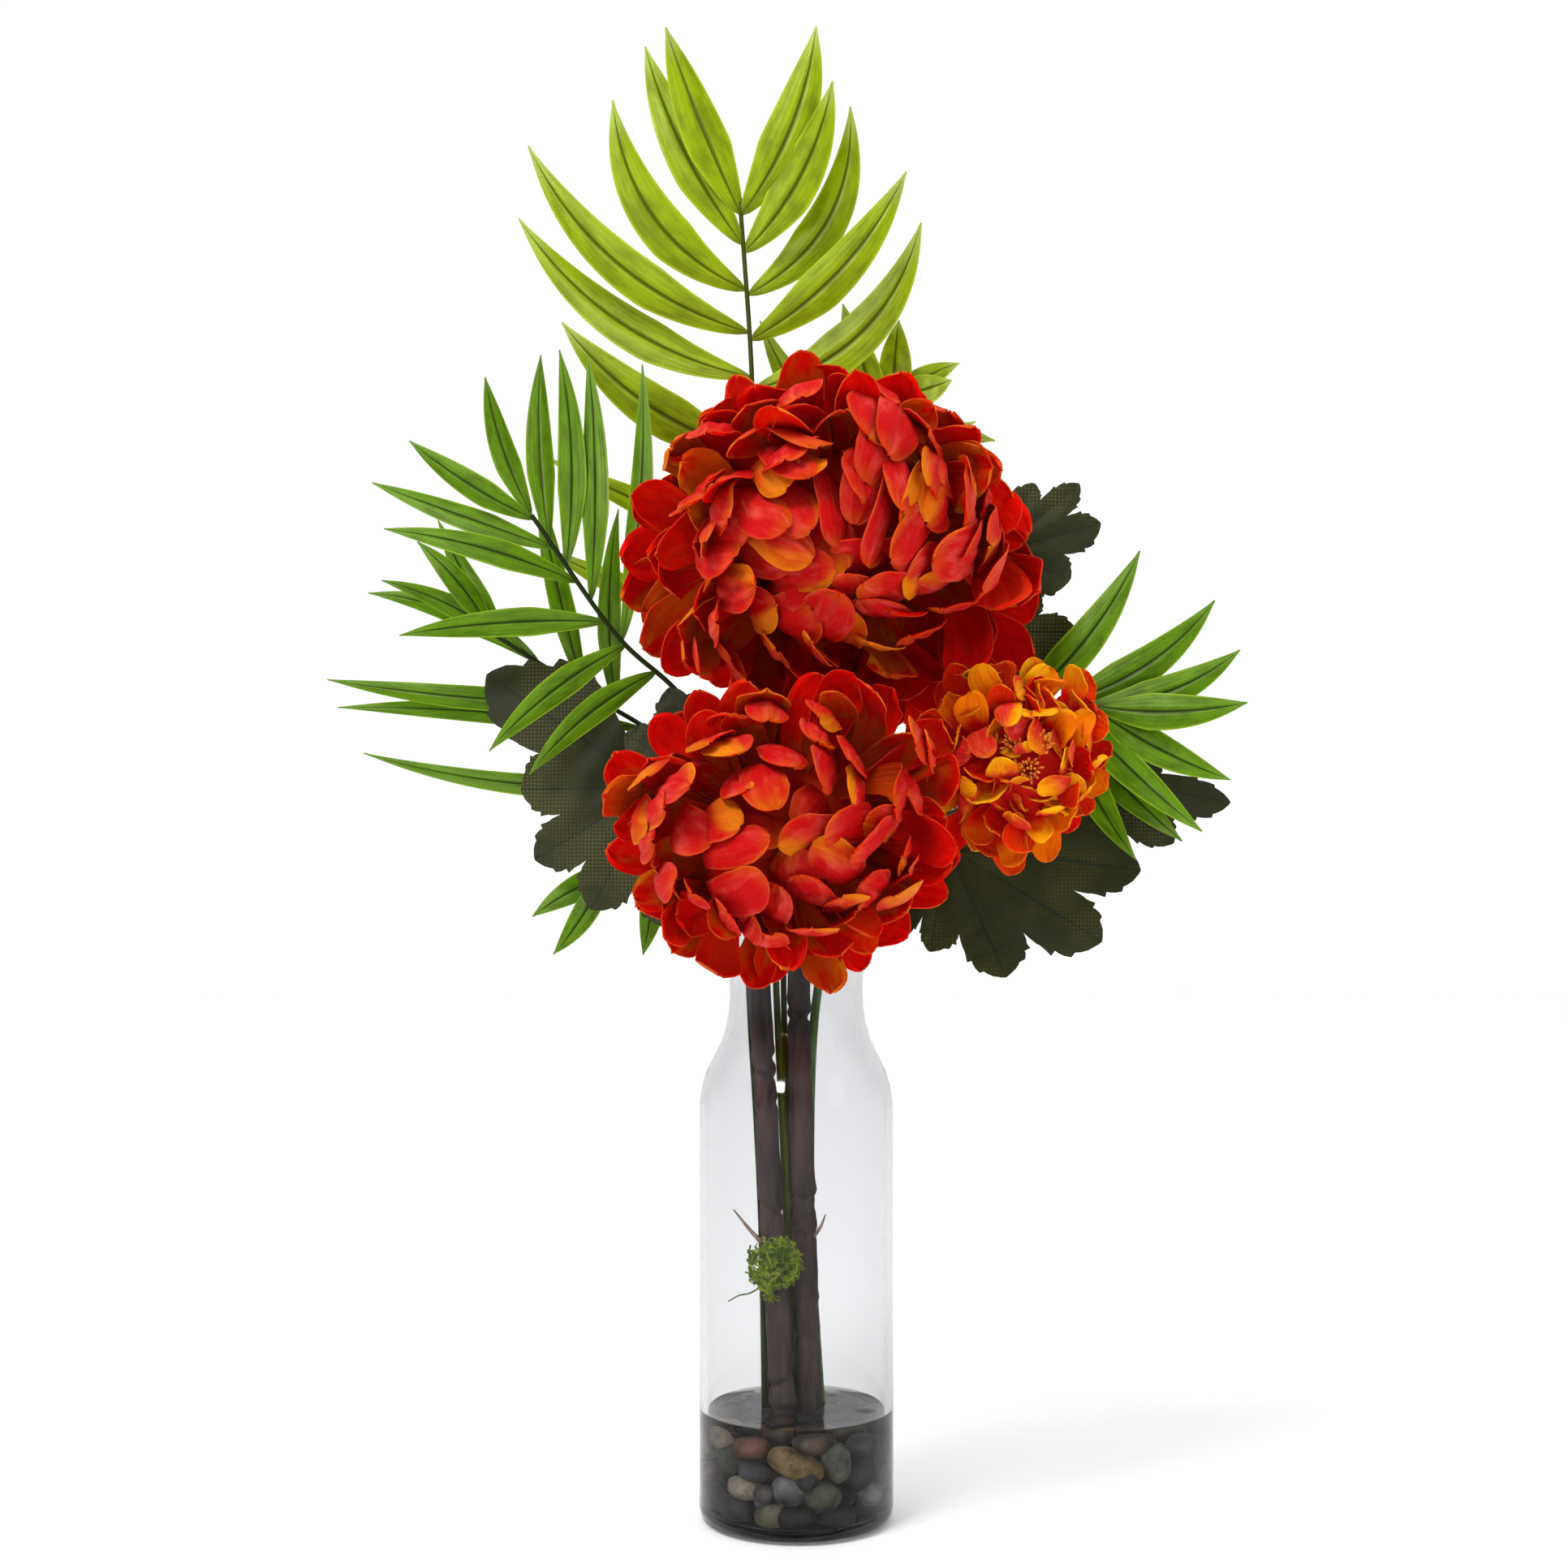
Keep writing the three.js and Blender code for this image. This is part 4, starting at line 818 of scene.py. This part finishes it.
def lobed_leaf(name, data, seed, material):
    """Lobes that fan out from the blade's foot, each with a midrib, side veins and toothed edges, and the
    stalk."""
    skin = Skin()
    draw = Draw(seed)
    foot, slope = np.array(data["foot"], float), data["slope"]
    tips = [np.array(tip, float) - foot[:2] for tip in data["lobes"]]
    reach = max(np.linalg.norm(tip) for tip in tips)
    turn = lambda v, a: np.array([v[0] * math.cos(a) - v[1] * math.sin(a),
                                  v[0] * math.sin(a) + v[1] * math.cos(a)])
    lone = lambda tip, way: turn(tip, way * FOOT_NOTCH_ANGLE) * FOOT_NOTCH_OUT
    between = [unit(unit(a) + unit(b)) * NOTCH * (np.linalg.norm(a) + np.linalg.norm(b)) / 2
               for a, b in zip(tips, tips[1:])]
    notches = [lone(tips[0], -1)] + between + [lone(tips[-1], 1)]
    s = np.linspace(0, 1, 9)
    for k, tip in enumerate(tips):
        for side, notch in ((1, notches[k]), (-1, notches[k + 1])):
            inner = np.array([notch * f for f in np.linspace(0, 0.97, 9)])
            slit = 0 < k + (side < 0) < len(tips)
            edge = np.concatenate([inner, leaf_edge(notch, tip, 4, slit), [tip]])
            along = np.maximum.accumulate(np.clip(edge @ tip / (tip @ tip), 0, 1))
            middle = tip[None] * (along ** 1.22)[:, None]
            flat = middle[:, None] * (1 - s)[None, :, None] + edge[:, None] * s[None, :, None]
            out = np.linalg.norm(flat, axis=2)
            wave = (1.3 * np.sin(flat[..., 0] * 0.16 + seed) * np.cos(flat[..., 1] * 0.13 + seed)
                    * (out / reach))
            vein = 0.3 * np.cos(2 * math.pi * 7 * along)[:, None] * np.sin(math.pi * s)[None]
            pleat = 1.5 * (np.sin(0.5 * math.pi * s) ** 1.3 - 0.6)[None] * smooth(0, 0.35, along)[:, None]
            pleat = pleat * (1 - along[:, None] ** 4)
            z = (foot[2] + slope[0] * flat[..., 0] + slope[1] * flat[..., 1]
                 - LEAF_CURL * reach * (out / reach) ** 2)
            grid = np.stack([foot[0] + flat[..., 0], foot[1] + flat[..., 1], z + wave + vein + pleat], axis=2)
            across, along = np.broadcast_arrays(s[None], along[:, None])
            if side < 0:
                grid, across = grid[:, ::-1], across[:, ::-1]
            sheet(skin, grid, 0.5, draw.random(), across, along)
    inward = foot + np.append(tips[len(tips) // 2] * 0.12, -1)
    stalk = curve_through([tuple(inward), tuple(foot + [0, 0, -0.8])] + data["stalk"], 40)
    tube(skin, stalk, np.linspace(1.0, 1.2, 40), 8, STALK_TINT)
    skin.piece(name, material, "dark_leaf", sharp=65)


# ---------------------------------------------------------------- the vase and what lies in it


def pebble(skin, centre, half, tilt, turn, colour, seed):
    """One worn stone: a ball pulled out of round and dented a little."""
    points, faces = ball()
    lumpy = []
    for p in points:
        at = Vector(p) + Vector((seed * 3.7, seed * 1.3, seed * 2.1))
        lumpy.append(p * (1 + 0.16 * noise.noise(at * 0.9) + 0.05 * noise.noise(at * 2.3)))
    lumpy = np.array(lumpy)
    lumpy = np.sign(lumpy) * np.abs(lumpy) ** 0.88 * np.array(half)
    matrix = np.array((Euler((0, turn, 0)).to_matrix() @ Euler((0, 0, math.radians(tilt))).to_matrix()))
    skin.add(lumpy @ matrix.T + np.array(centre), faces, colour, seed % 17 / 17)


def river_stones(material):
    """The stones that the photo shows, then those by the glass at the sides and behind, then those in the
    middle."""
    skin = Skin()
    draw = Draw(9)
    inner = VASE_RADIUS - VASE_WALL - 0.5
    for k, (x, height, half_width, half_height, tilt, z, colour) in enumerate(FRONT_STONES):
        depth = 0.5 * (half_width + half_height)
        share = min(1, (inner - depth) / math.hypot(x, z))
        turn = math.atan2(x, z) if z > 0 else 0
        pebble(skin, (x * share, height, z * share), (half_width, half_height, depth), tilt, turn, colour,
               k + 1)
    layers, a_layer = 4, BACK_STONES // 4
    for k in range(BACK_STONES + MIDDLE_STONES):
        layer = k % layers
        by_wall = k < BACK_STONES
        if by_wall:
            angle = math.pi * (0.42 + 1.16 * (k // layers + 0.5 * (layer % 2)) / a_layer)
            out = inner - draw.uniform(7.5, 9)
        else:
            angle = 2 * math.pi * draw.random()
            out = 18 * math.sqrt(draw.random())
        half = [draw.uniform(5.5, 8), draw.uniform(4.4, 5.8), draw.uniform(5.5, 7)]
        centre = (out * math.sin(angle), 9.5 + 9.2 * layer + draw.spread(), out * math.cos(angle))
        pebble(skin, centre, half, draw.uniform(-30, 30), angle, draw.choice(PEBBLE_COLOURS), 60 + k)
    skin.piece("river_stones", material, "river_stone")


def turned_body(name, profile, material, slot, sharp):
    skin = Skin()
    skin.add(*lathe(profile, 128), (0, 0, 0), 0)
    skin.piece(name, material, slot, sharp)


def moss(material):
    """A tuft of fine curling strands on a ragged knot."""
    skin = Skin()
    draw = Draw(7)
    centre, radius = np.array(MOSS["centre"]), MOSS["radius"]
    t = np.linspace(0, 1, 9)[:, None]
    for clump in range(MOSS["clumps"]):
        out = direction(math.degrees(math.acos(1 - 1.8 * (clump + 0.5) / MOSS["clumps"])),
                        clump * GOLDEN_ANGLE)
        middle = centre + out * radius * draw.uniform(0.35, 0.92) * np.array(MOSS["shape"])
        shade = draw.random()
        for _ in range(MOSS["strands"]):
            stray, bend, swirl, off = (draw.spreads() for _ in range(4))
            length = draw.uniform(2.5, 5.5)
            way = unit(np.cross(out, stray) + 0.2 * stray)
            curl = way * (t - 0.4) + 0.34 * bend * np.sin(6 * t) + 0.3 * swirl * np.cos(8 * t)
            path = middle + 1.5 * off + length * curl
            path[:, 2] = np.maximum(path[:, 2], 3)
            thick = np.linspace(0.42, 0.22, 9) * draw.uniform(0.7, 1.3)
            # Painted shade: strands near the knot's middle get a darker tint.
            lit = float(smooth(0.3, 0.75, np.linalg.norm(path[4] - centre) / radius))
            tube(skin, path, thick, 3, (0.4 * shade + 0.6 * draw.random()) * lit)
    tube(skin, curve_through(MOSS["stray"], 14), np.linspace(0.4, 0.25, 14), 5, 0.2)
    skin.piece("moss_tuft", material, "moss", sharp=80)


def spray_eye(k, material):
    """A tuft of stamens inside the spray."""
    skin = Skin()
    draw = Draw(30 + k)
    out = direction(17, 2 * math.pi * (k - 0.75) / 3)
    seat = out * np.array(SPRAY_MUM["size"]) * SPRAY_MUM["core_front"] + out * 0.3
    across = unit(np.cross([0, 1.0, 0], out))
    up = np.cross(out, across)
    for n in range(STAMENS):
        lean = direction(38 * math.sqrt((n + 0.5) / STAMENS), n * GOLDEN_ANGLE)
        way = across * lean[0] + up * lean[1] + out * lean[2]
        foot = seat + across * lean[0] * 2.2 + up * lean[1] * 2.2
        length = draw.uniform(4.5, 7)
        bend = draw.spreads()
        path = np.array([foot + way * length * t + bend * 0.9 * t * t for t in np.linspace(0, 1, 6)])
        tube(skin, placed(SPRAY_MUM, path), [0.4, 0.34, 0.32, 0.42, 0.6, 0.3], 6, draw.random())
    skin.piece(f"spray_mum_eye_{k}", material, "stamen", sharp=80)


# ---------------------------------------------------------------- materials


class Value:
    """What comes out of a node: a number, a place or a colour. Sums with it make the nodes that work them
    out."""

    def __init__(self, socket):
        self.socket, self.tree = socket, socket.id_data

    def calc(self, operation, *others):
        return calc(self.tree, operation, self, *others)

    def __add__(self, other):
        return self.calc("ADD", other)

    def __sub__(self, other):
        return self.calc("SUBTRACT", other)

    def __rsub__(self, other):
        return calc(self.tree, "SUBTRACT", other, self)

    def __mul__(self, other):
        return self.calc("MULTIPLY", other)

    def __iter__(self):
        """Its three parts."""
        split = self.tree.nodes.new("ShaderNodeSeparateXYZ")
        self.tree.links.new(self.socket, split.inputs[0])
        return iter([Value(part) for part in split.outputs])


def node(tree, kind, inputs=None, output=0, **props):
    """What comes out of a new node, with its inputs linked or set."""
    made = tree.nodes.new("ShaderNode" + kind)
    for key, value in props.items():
        setattr(made, key, value)
    for key, value in (inputs or {}).items():
        if isinstance(value, Value):
            tree.links.new(value.socket, made.inputs[key])
        else:
            made.inputs[key].default_value = value
    return Value(made.outputs[output])


def calc(tree, operation, *inputs):
    return node(tree, "Math", dict(enumerate(inputs)), operation=operation)


def ease(value, low, high):
    """0 below low and 1 above high, smoothly."""
    return node(value.tree, "MapRange", {0: value, 1: low, 2: high}, interpolation_type="SMOOTHSTEP")


def blend(share, a, b):
    """A colour between two, each of them worked out or plain."""
    tree = next(x.tree for x in (share, a, b) if isinstance(x, Value))
    a, b = (x if isinstance(x, Value) else (*x, 1) for x in (a, b))
    return node(tree, "Mix", {0: share, 6: a, 7: b}, output=2, data_type="RGBA")


def layered(colour, *layers):
    """A colour with others laid over it, each as its share and itself."""
    for share, other in layers:
        colour = blend(share, colour, other)
    return colour


def scaled(colour, share):
    return tuple(share * x for x in colour)


def clouds(vector, scale, detail=2.0, rough=0.5):
    inputs = {"Vector": vector, "Scale": scale, "Detail": detail, "Roughness": rough}
    return node(vector.tree, "TexNoise", inputs)


def place(tree):
    return node(tree, "TexCoord", output=3)


def stretched(tree, *scale):
    """The place on a piece, scaled along its three axes, or by one number along all of them."""
    return node(tree, "Mapping", {0: place(tree), 3: scale * (3 // len(scale))})


def mark(tree):
    """The three numbers kept at each point of a piece: across, along and tint, or a stone's colour."""
    return node(tree, "Attribute", output=1, attribute_name="mark")


def face(tree):
    return node(tree, "Attribute", output=2, attribute_name="side")


def new_material(name, **constants):
    """A material whose shader takes the constants, and its node tree."""
    material = bpy.data.materials.new(name)
    material.use_nodes = True
    shader = material.node_tree.nodes["Principled BSDF"]
    for socket, value in constants.items():
        shader.inputs[socket.replace("_", " ")].default_value = value
    return material, material.node_tree


def paint(material, colour, roughness=None, height=None, strength=0.0, depth=0.0):
    """Joins a colour, a roughness and a relief of so many mm to a material's shader."""
    tree = material.node_tree
    inputs = {"Base Color": colour, "Roughness": roughness}
    if height:
        inputs["Normal"] = node(tree, "Bump",
                                {"Height": height, "Strength": strength, "Distance": depth / 1000})
    for socket, value in inputs.items():
        if value:
            tree.links.new(value.socket, tree.nodes["Principled BSDF"].inputs[socket])
    return material


def petal_cloth(name, inside, back, coral_sheen, warm, bright, start, warm_tips):
    """Dyed cloth. Each petal has a warm zone that runs in from one side of its tip on its back, and on its
    inner face from its root or, with warm tips, from its tip. start is how far the zones keep from the
    petals' middles. Over the dye lie painted sheen in coral patches on the backs, painted shade towards
    each petal's root and a painted highlight along the rim of its outer face."""
    material, tree = new_material(name, Specular_IOR_Level=0.1, Specular_Tint=(0.3, 0.12, 0.1, 1.0),
                                  Subsurface_Weight=0.4, Subsurface_Radius=(1.0, 0.12, 0.06),
                                  Subsurface_Scale=0.001)
    across, along, tint = mark(tree)
    own = node(tree, "CombineXYZ", {0: across * 0.8, 1: along * 1.9, 2: tint * 61.0})
    blotch = clouds(own, 1.6, 2.0) - 0.5
    fine = clouds(own, 4.5, 3.0)
    first, second, third = node(tree, "TexWhiteNoise", {"W": tint * 313.0}, output=1, noise_dimensions="1D")
    lean = across * (first * 2.0 - 1.0) + along * (second * 0.9 + 0.5) - (third * 0.9 + start)
    zone = blotch * (0.6 if warm_tips else 1.1) + lean
    inward = along - 0.32 - first.calc("GREATER_THAN", 0.58) * 0.8 if warm_tips else second + 0.2 - along
    warm_in = ease(blotch * (0.6 if warm_tips else 1.4) + inward, 0.0, 0.4) * 0.95
    edge = across.calc("ABSOLUTE").calc("MAXIMUM", along)
    rim = ease(edge, 0.965, 1.0) * ease(second * 0.3 + fine, 0.58, 0.8)
    gold = blend(ease(fine * 0.5 + zone, 0.35, 1.0), warm, bright)
    dark = scaled(inside, 0.55)
    inner = blend(ease(fine, 0.35, 0.7), inside, scaled(inside, 0.8))
    inner = blend(warm_in.calc("MAXIMUM", rim * 0.65), inner, gold)
    outer = layered(
        # Coral patches, laid by noise over the backs, are painted sheen.
        blend(ease(fine * 0.7 + blotch, 0.25, 0.8), back, coral_sheen),
        (ease(zone, -0.05, 0.45), gold),
        ((first * 7.3).calc("FRACT") * 0.45, dark),
        # painted highlight: the outer face lightens along its rim
        (ease(edge, 0.88, 1.0) * 0.16, bright),
    )
    # Painted shade: each petal darkens towards its root, where the petals over it would shade it.
    painted_root_shade = 1 - ease(along, *((0.0, 0.6) if warm_tips else (0.25, 0.92)))
    threads = clouds(stretched(tree, 1100), 1.0, 2.0)
    grain = clouds(stretched(tree, 230), 1.0, 3.0)
    colour = layered(
        blend(face(tree), outer, inner),
        # painted shade towards each petal's root
        (painted_root_shade * (0.4 if warm_tips else 0.45), dark),
        # fine flecks of painted coral sheen
        (ease(grain, 0.5, 0.8) * 0.12, coral_sheen),
        (ease(threads, 0.35, 0.2) * 0.3, dark),
    )
    veins = (across * 19.0 + fine * 7.0).calc("SINE")
    return paint(material, colour, grain * 0.25 + 0.62, fine * 1.8 + (threads * 0.5 + veins * 0.3), 0.6, 0.4)


def palm(name, green, dark, pale, tip):
    """A satin leaflet with a dark groove along it, fine long veins, a pale rim and a fading tip; its rib is
    dark."""
    material, tree = new_material(name, Specular_IOR_Level=0.2, Specular_Tint=(0.5, 0.5, 0.3, 1.0))
    across, along, tint = mark(tree)
    own = node(tree, "CombineXYZ", {0: across * 1.3, 1: along * 5.0, 2: tint * 47.0})
    blotch = clouds(own, 1.4, 3.0)
    lines = (across * 26.0 + blotch * 4.0).calc("SINE")
    wide = across.calc("ABSOLUTE")
    colour = layered(
        blend(ease(blotch, 0.35, 0.72), green, scaled(green, 0.62)),
        (ease(lines, 0.2, 1.0) * 0.1, dark),
        (ease(wide, 0.84, 1.0) * 0.65, pale),
        (ease(along, 0.8, 1.0) * 0.6, tip),
        ((1 - ease(wide, 0.05, 0.16)) * 0.88, dark),
        ((1 - ease(along, 0.0, 0.12)) * 0.7, dark),
        (tint.calc("LESS_THAN", STALK_LIMIT), scaled(dark, 0.5)),
    )
    return paint(material, colour, blotch * 0.25 + 0.34, lines * 0.4 + blotch, 0.25, 0.25)


def dark_cloth_leaf(name):
    """Dark green cloth: an open weave that shows pale between worn threads, darker veins and a smooth
    sheen."""
    material, tree = new_material(name, Specular_IOR_Level=0.2, Specular_Tint=(0.5, 0.5, 0.45, 1.0))
    across, _, tint = mark(tree)
    patches = clouds(stretched(tree, 26), 1.0, 3.0)
    weave = {"Vector": place(tree), "Scale": 210.0, "Distortion": 1.2, "Detail": 1.0}
    warp, weft = (ease(node(tree, "TexWave", weave, output=1, wave_type="BANDS", bands_direction=way), 0.45,
                       0.95)
                  for way in "XZ")
    holes = warp * weft
    colour = layered(
        blend(ease(patches, 0.3, 0.7), (0.020, 0.024, 0.010), (0.036, 0.038, 0.011)),
        ((1 - ease(across, 0.02, 0.08)) * 0.7, (0.012, 0.017, 0.012)),
        (holes * ease(patches, 0.46, 0.66) * 0.75, (0.17, 0.17, 0.075)),
        (tint.calc("LESS_THAN", STALK_LIMIT), (0.02, 0.035, 0.015)),
    )
    return paint(material, colour, patches * 0.2 + 0.6, holes * 0.8 + patches * 1.5, 0.5, 0.3)


def bark(name):
    """Dark bark with paler patches, and a pale twig."""
    material, tree = new_material(name, Specular_IOR_Level=0.3)
    grain = clouds(stretched(tree, 260, 260, 34), 1.0, 3.0, 0.6)
    broad = clouds(stretched(tree, 60, 60, 26), 1.0, 3.0)
    colour = blend(ease(grain, 0.36, 0.68), (0.012, 0.007, 0.006), (0.055, 0.029, 0.026))
    colour = blend(ease(broad, 0.45, 0.75) * 0.5, colour, (0.062, 0.038, 0.033))
    _, _, tint = mark(tree)
    twig = blend(ease(grain, 0.3, 0.7), (0.16, 0.10, 0.07), (0.42, 0.29, 0.20))
    colour = blend(tint.calc("GREATER_THAN", TWIG_LIMIT) * 0.75, colour, twig)
    return paint(material, colour, broad * 0.3 + 0.55, grain * 1.5 + broad, 0.7, 0.8)


def green_stalk(name):
    material, tree = new_material(name, Specular_IOR_Level=0.35)
    long = clouds(stretched(tree, 420, 420, 30), 1.0, 3.0)
    broad = clouds(stretched(tree, 60), 1.0, 2.0)
    colour = blend(ease(long, 0.3, 0.7), (0.035, 0.075, 0.012), (0.085, 0.17, 0.025))
    colour = blend(ease(broad, 0.5, 0.7) * 0.4, colour, (0.14, 0.2, 0.03))
    return paint(material, colour, broad * 0.2 + 0.45, long, 0.4, 0.3)


def moss_fibre(name):
    material, tree = new_material(name, Specular_IOR_Level=0.2)
    _, along, tint = mark(tree)
    # The tint holds each clump's own tone, and painted shade near the knot's middle.
    colour = blend(ease(tint, 0.0, 1.0), (0.035, 0.08, 0.001), (0.40, 0.54, 0.006))
    colour = blend(ease(along, 0.2, 1.0), blend(0.6, colour, (0.02, 0.05, 0.002)), colour)
    broad = clouds(stretched(tree, 120), 1.0, 2.0)
    colour = blend(ease(broad, 0.5, 0.7) * 0.5, colour, (0.36, 0.34, 0.04))
    return paint(material, colour, broad * 0.2 + 0.7)


def stamen(name):
    material, tree = new_material(name, Specular_IOR_Level=0.25)
    _, along, tint = mark(tree)
    colour = blend(ease(along, 0.3, 0.8), (0.42, 0.04, 0.004), (0.66, 0.19, 0.004))
    colour = blend(ease(tint, 0.3, 1.0) * 0.6, colour, (0.50, 0.06, 0.008))
    return paint(material, colour, clouds(stretched(tree, 500), 1.0, 2.0) * 0.2 + 0.5)


def worn_stone(name):
    """River stones: each its own colour, speckled and pitted, and wet."""
    material, tree = new_material(name, Specular_IOR_Level=0.5)
    own = node(tree, "CombineXYZ", {0: 0.0, 1: 0.0, 2: face(tree) * 9.0})
    where = node(tree, "VectorMath", {0: stretched(tree, 260), 1: own}, operation="ADD")
    broad = clouds(where, 0.5, 4.0, 0.65)
    fine = clouds(where, 2.6, 3.0, 0.6)
    shade = node(tree, "MapRange", {0: broad, 1: 0.3, 2: 0.7, 3: 0.15, 4: 1.5})
    own_colour = node(tree, "Attribute", output=0, attribute_name="mark")
    colour = node(tree, "VectorMath", {0: own_colour, 3: shade}, operation="SCALE")
    colour = blend(ease(fine, 0.6, 0.72) * 0.5, colour, (0.22, 0.21, 0.18))
    colour = blend(ease(fine, 0.42, 0.3) * 0.55, colour, (0.012, 0.012, 0.012))
    return paint(material, colour, fine * 0.3 + 0.22, fine, 0.3, 0.3)


def clear(name, tint, ior, absorbed=0.0):
    """A clear body, faintly uneven. absorbed is how much light a metre of it takes up."""
    material, tree = new_material(name, Transmission_Weight=1.0, IOR=ior, Roughness=0.0,
                                  Specular_Tint=(0.2, 0.2, 0.2, 1.0))
    uneven = clouds(stretched(tree, 22, 22, 9), 1.0, 2.0)
    if absorbed:
        body = node(tree, "VolumeAbsorption", {"Color": (0.0, 0.0, 0.04, 1.0), "Density": absorbed})
        tree.links.new(body.socket, tree.nodes["Material Output"].inputs["Volume"])
    return paint(material, blend(uneven, tint, scaled(tint, 1.03)), None, uneven, 0.02, 0.3)


def pale_floor(name):
    material, tree = new_material(name, Specular_IOR_Level=0.1)
    broad = clouds(stretched(tree, 3), 1.0, 2.0)
    return paint(material, blend(broad, (0.93, 0.93, 0.93), (0.95, 0.95, 0.95)), broad * 0.1 + 0.85)


# ---------------------------------------------------------------- the arrangement

# Each cloth's third colour is its painted coral sheen.
RED = petal_cloth("red_cloth", (0.72, 0.004, 0.001), (0.52, 0.006, 0.007), (0.72, 0.09, 0.068),
                  (0.56, 0.09, 0.003), (0.72, 0.23, 0.006), 0.62, False)
ORANGE = petal_cloth("orange_cloth", (0.68, 0.006, 0.001), (0.60, 0.014, 0.014), (0.72, 0.09, 0.07),
                     (0.84, 0.21, 0.001), (0.95, 0.46, 0.006), 0.1, True)
GREEN = green_stalk("green_stalk")
BARK = bark("bark")
LIME_PALM = palm("lime_palm", (0.275, 0.385, 0.002), (0.075, 0.10, 0.002), (0.45, 0.58, 0.02),
                 (0.45, 0.58, 0.14))
GREEN_PALM = palm("green_palm", (0.105, 0.235, 0.003), (0.018, 0.038, 0.003), (0.30, 0.46, 0.02),
                  (0.14, 0.26, 0.03))
DARK_LEAF = dark_cloth_leaf("dark_leaf_cloth")

GLASS = clear("clear_glass", (0.956, 0.958, 0.966), 1.47, absorbed=50.0)
turned_body("vase", VASE_OUTSIDE + VASE_INSIDE, GLASS, "clear_glass", 80)
turned_body("water", WATER, clear("clear_water", (0.55, 0.55, 0.54), 1.34), "clear_water", 60)
river_stones(worn_stone("river_stone"))
moss(moss_fibre("moss_fibre"))
woody_stem("front_mum_stem", FRONT_STEM + stem_end(FRONT_MUM, 1), FRONT_TWIG, 3, BARK)
woody_stem("big_mum_stem", BIG_STEM + stem_end(BIG_MUM, 1), BIG_TWIG, 8, BARK)
green_stem("spray_mum_stem", SPRAY_STEM + stem_end(SPRAY_MUM, SPRAY_CALYX_SCALE), GREEN)
blooms = [dict(bloom, **SPRAY_PETALS) for bloom in SPRAY_BLOOMS]
head_piece("big_mum", BIG_MUM, [FRONT_MUM, SPRAY_MUM], [BIG_MUM], RED, "red_petal", PETAL_DETAIL)
head_piece("front_mum", FRONT_MUM, [BIG_MUM, SPRAY_MUM], [FRONT_MUM], RED, "red_petal", PETAL_DETAIL)
head_piece("spray_mum", SPRAY_MUM, [BIG_MUM, FRONT_MUM], blooms, ORANGE, "orange_petal", SMALL_PETAL_DETAIL)
STAMEN = stamen("stamen")
for eye in (1, 2, 3):
    spray_eye(eye, STAMEN)
calyx_piece("big_mum_calyx", BIG_MUM, BROWN_RADIUS[1], 1, GREEN)
calyx_piece("front_mum_calyx", FRONT_MUM, BROWN_RADIUS[1], 1, GREEN)
calyx_piece("spray_mum_calyx", SPRAY_MUM, GREEN_RADIUS[1], SPRAY_CALYX_SCALE, GREEN)
for k, (name, data) in enumerate(FRONDS.items()):
    lime = name in LIME_FRONDS
    frond(name, data, 20 + k, LIME_PALM if lime else GREEN_PALM, "lime_palm" if lime else "green_palm")
for k, (name, data) in enumerate(LEAVES.items()):
    lobed_leaf(name, data, 50 + k, DARK_LEAF)

# ---------------------------------------------------------------- floor, light and camera


def floor():
    mesh = bpy.data.meshes.new("floor")
    corners = [(x * FLOOR_HALF, y * FLOOR_HALF, 0) for x, y in ((-1, -1), (1, -1), (1, 1), (-1, 1))]
    mesh.from_pydata(corners, [], [(0, 1, 2, 3)])
    mesh.materials.append(pale_floor("pale_floor"))
    obj = add_object("floor", mesh)
    obj.location.z = FLOOR_HEIGHT
    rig.stage(obj)


def softbox(name, place_at, aim, size, power, soft=True):
    """A soft light. One that isn't soft shows as a gleam only."""
    light = bpy.data.lights.new(name, "AREA")
    light.shape, light.size, light.size_y, light.energy = "RECTANGLE", size[0], size[1], power
    obj = add_object(name, light)
    obj.location = place_at
    obj.visible_diffuse = soft
    obj.rotation_euler = (Vector(aim) - Vector(place_at)).to_track_quat("-Z", "Y").to_euler()


def studio():
    """A room that is bright behind the arrangement, above it and along the floor, dimmer elsewhere, and soft
    lights."""
    world = bpy.data.worlds.new("studio")
    world.use_nodes = True
    tree = world.node_tree
    _, back, up = node(tree, "TexCoord", output=0)
    above = ease(up, 0.25, 0.8) * 0.95
    level = 0.66 - ease(up, 0.0, 0.4) * 0.5
    glow = 1 - ease(up, 0.0, 0.16)
    level = glow * 0.37 + level
    level = (1.03 - level) * ease(back, 0.3, 0.88) + level
    background = tree.nodes["Background"]
    background.inputs["Color"].default_value = (1, 1, 1, 1)
    tree.links.new((level + above).socket, background.inputs["Strength"])
    bpy.context.scene.world = world
    bpy.context.scene.view_settings.view_transform = "Standard"
    for light in LIGHTS:
        softbox(**light)


def camera():
    data = bpy.data.cameras.new("camera")
    data.sensor_width = 36
    data.lens = CAMERA["lens"]
    data.dof.use_dof = False
    obj = add_object("camera", data)
    obj.location = CAMERA["place"]
    obj.rotation_euler = (math.radians(90), 0, 0)
    bpy.context.scene.camera = obj


floor()
studio()
camera()
with open("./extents.json", "w") as out:
    json.dump({"cad": [list(corner) for corner in CAD_BOUNDS], "looks": [list(corner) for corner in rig.bounds()]}, out)
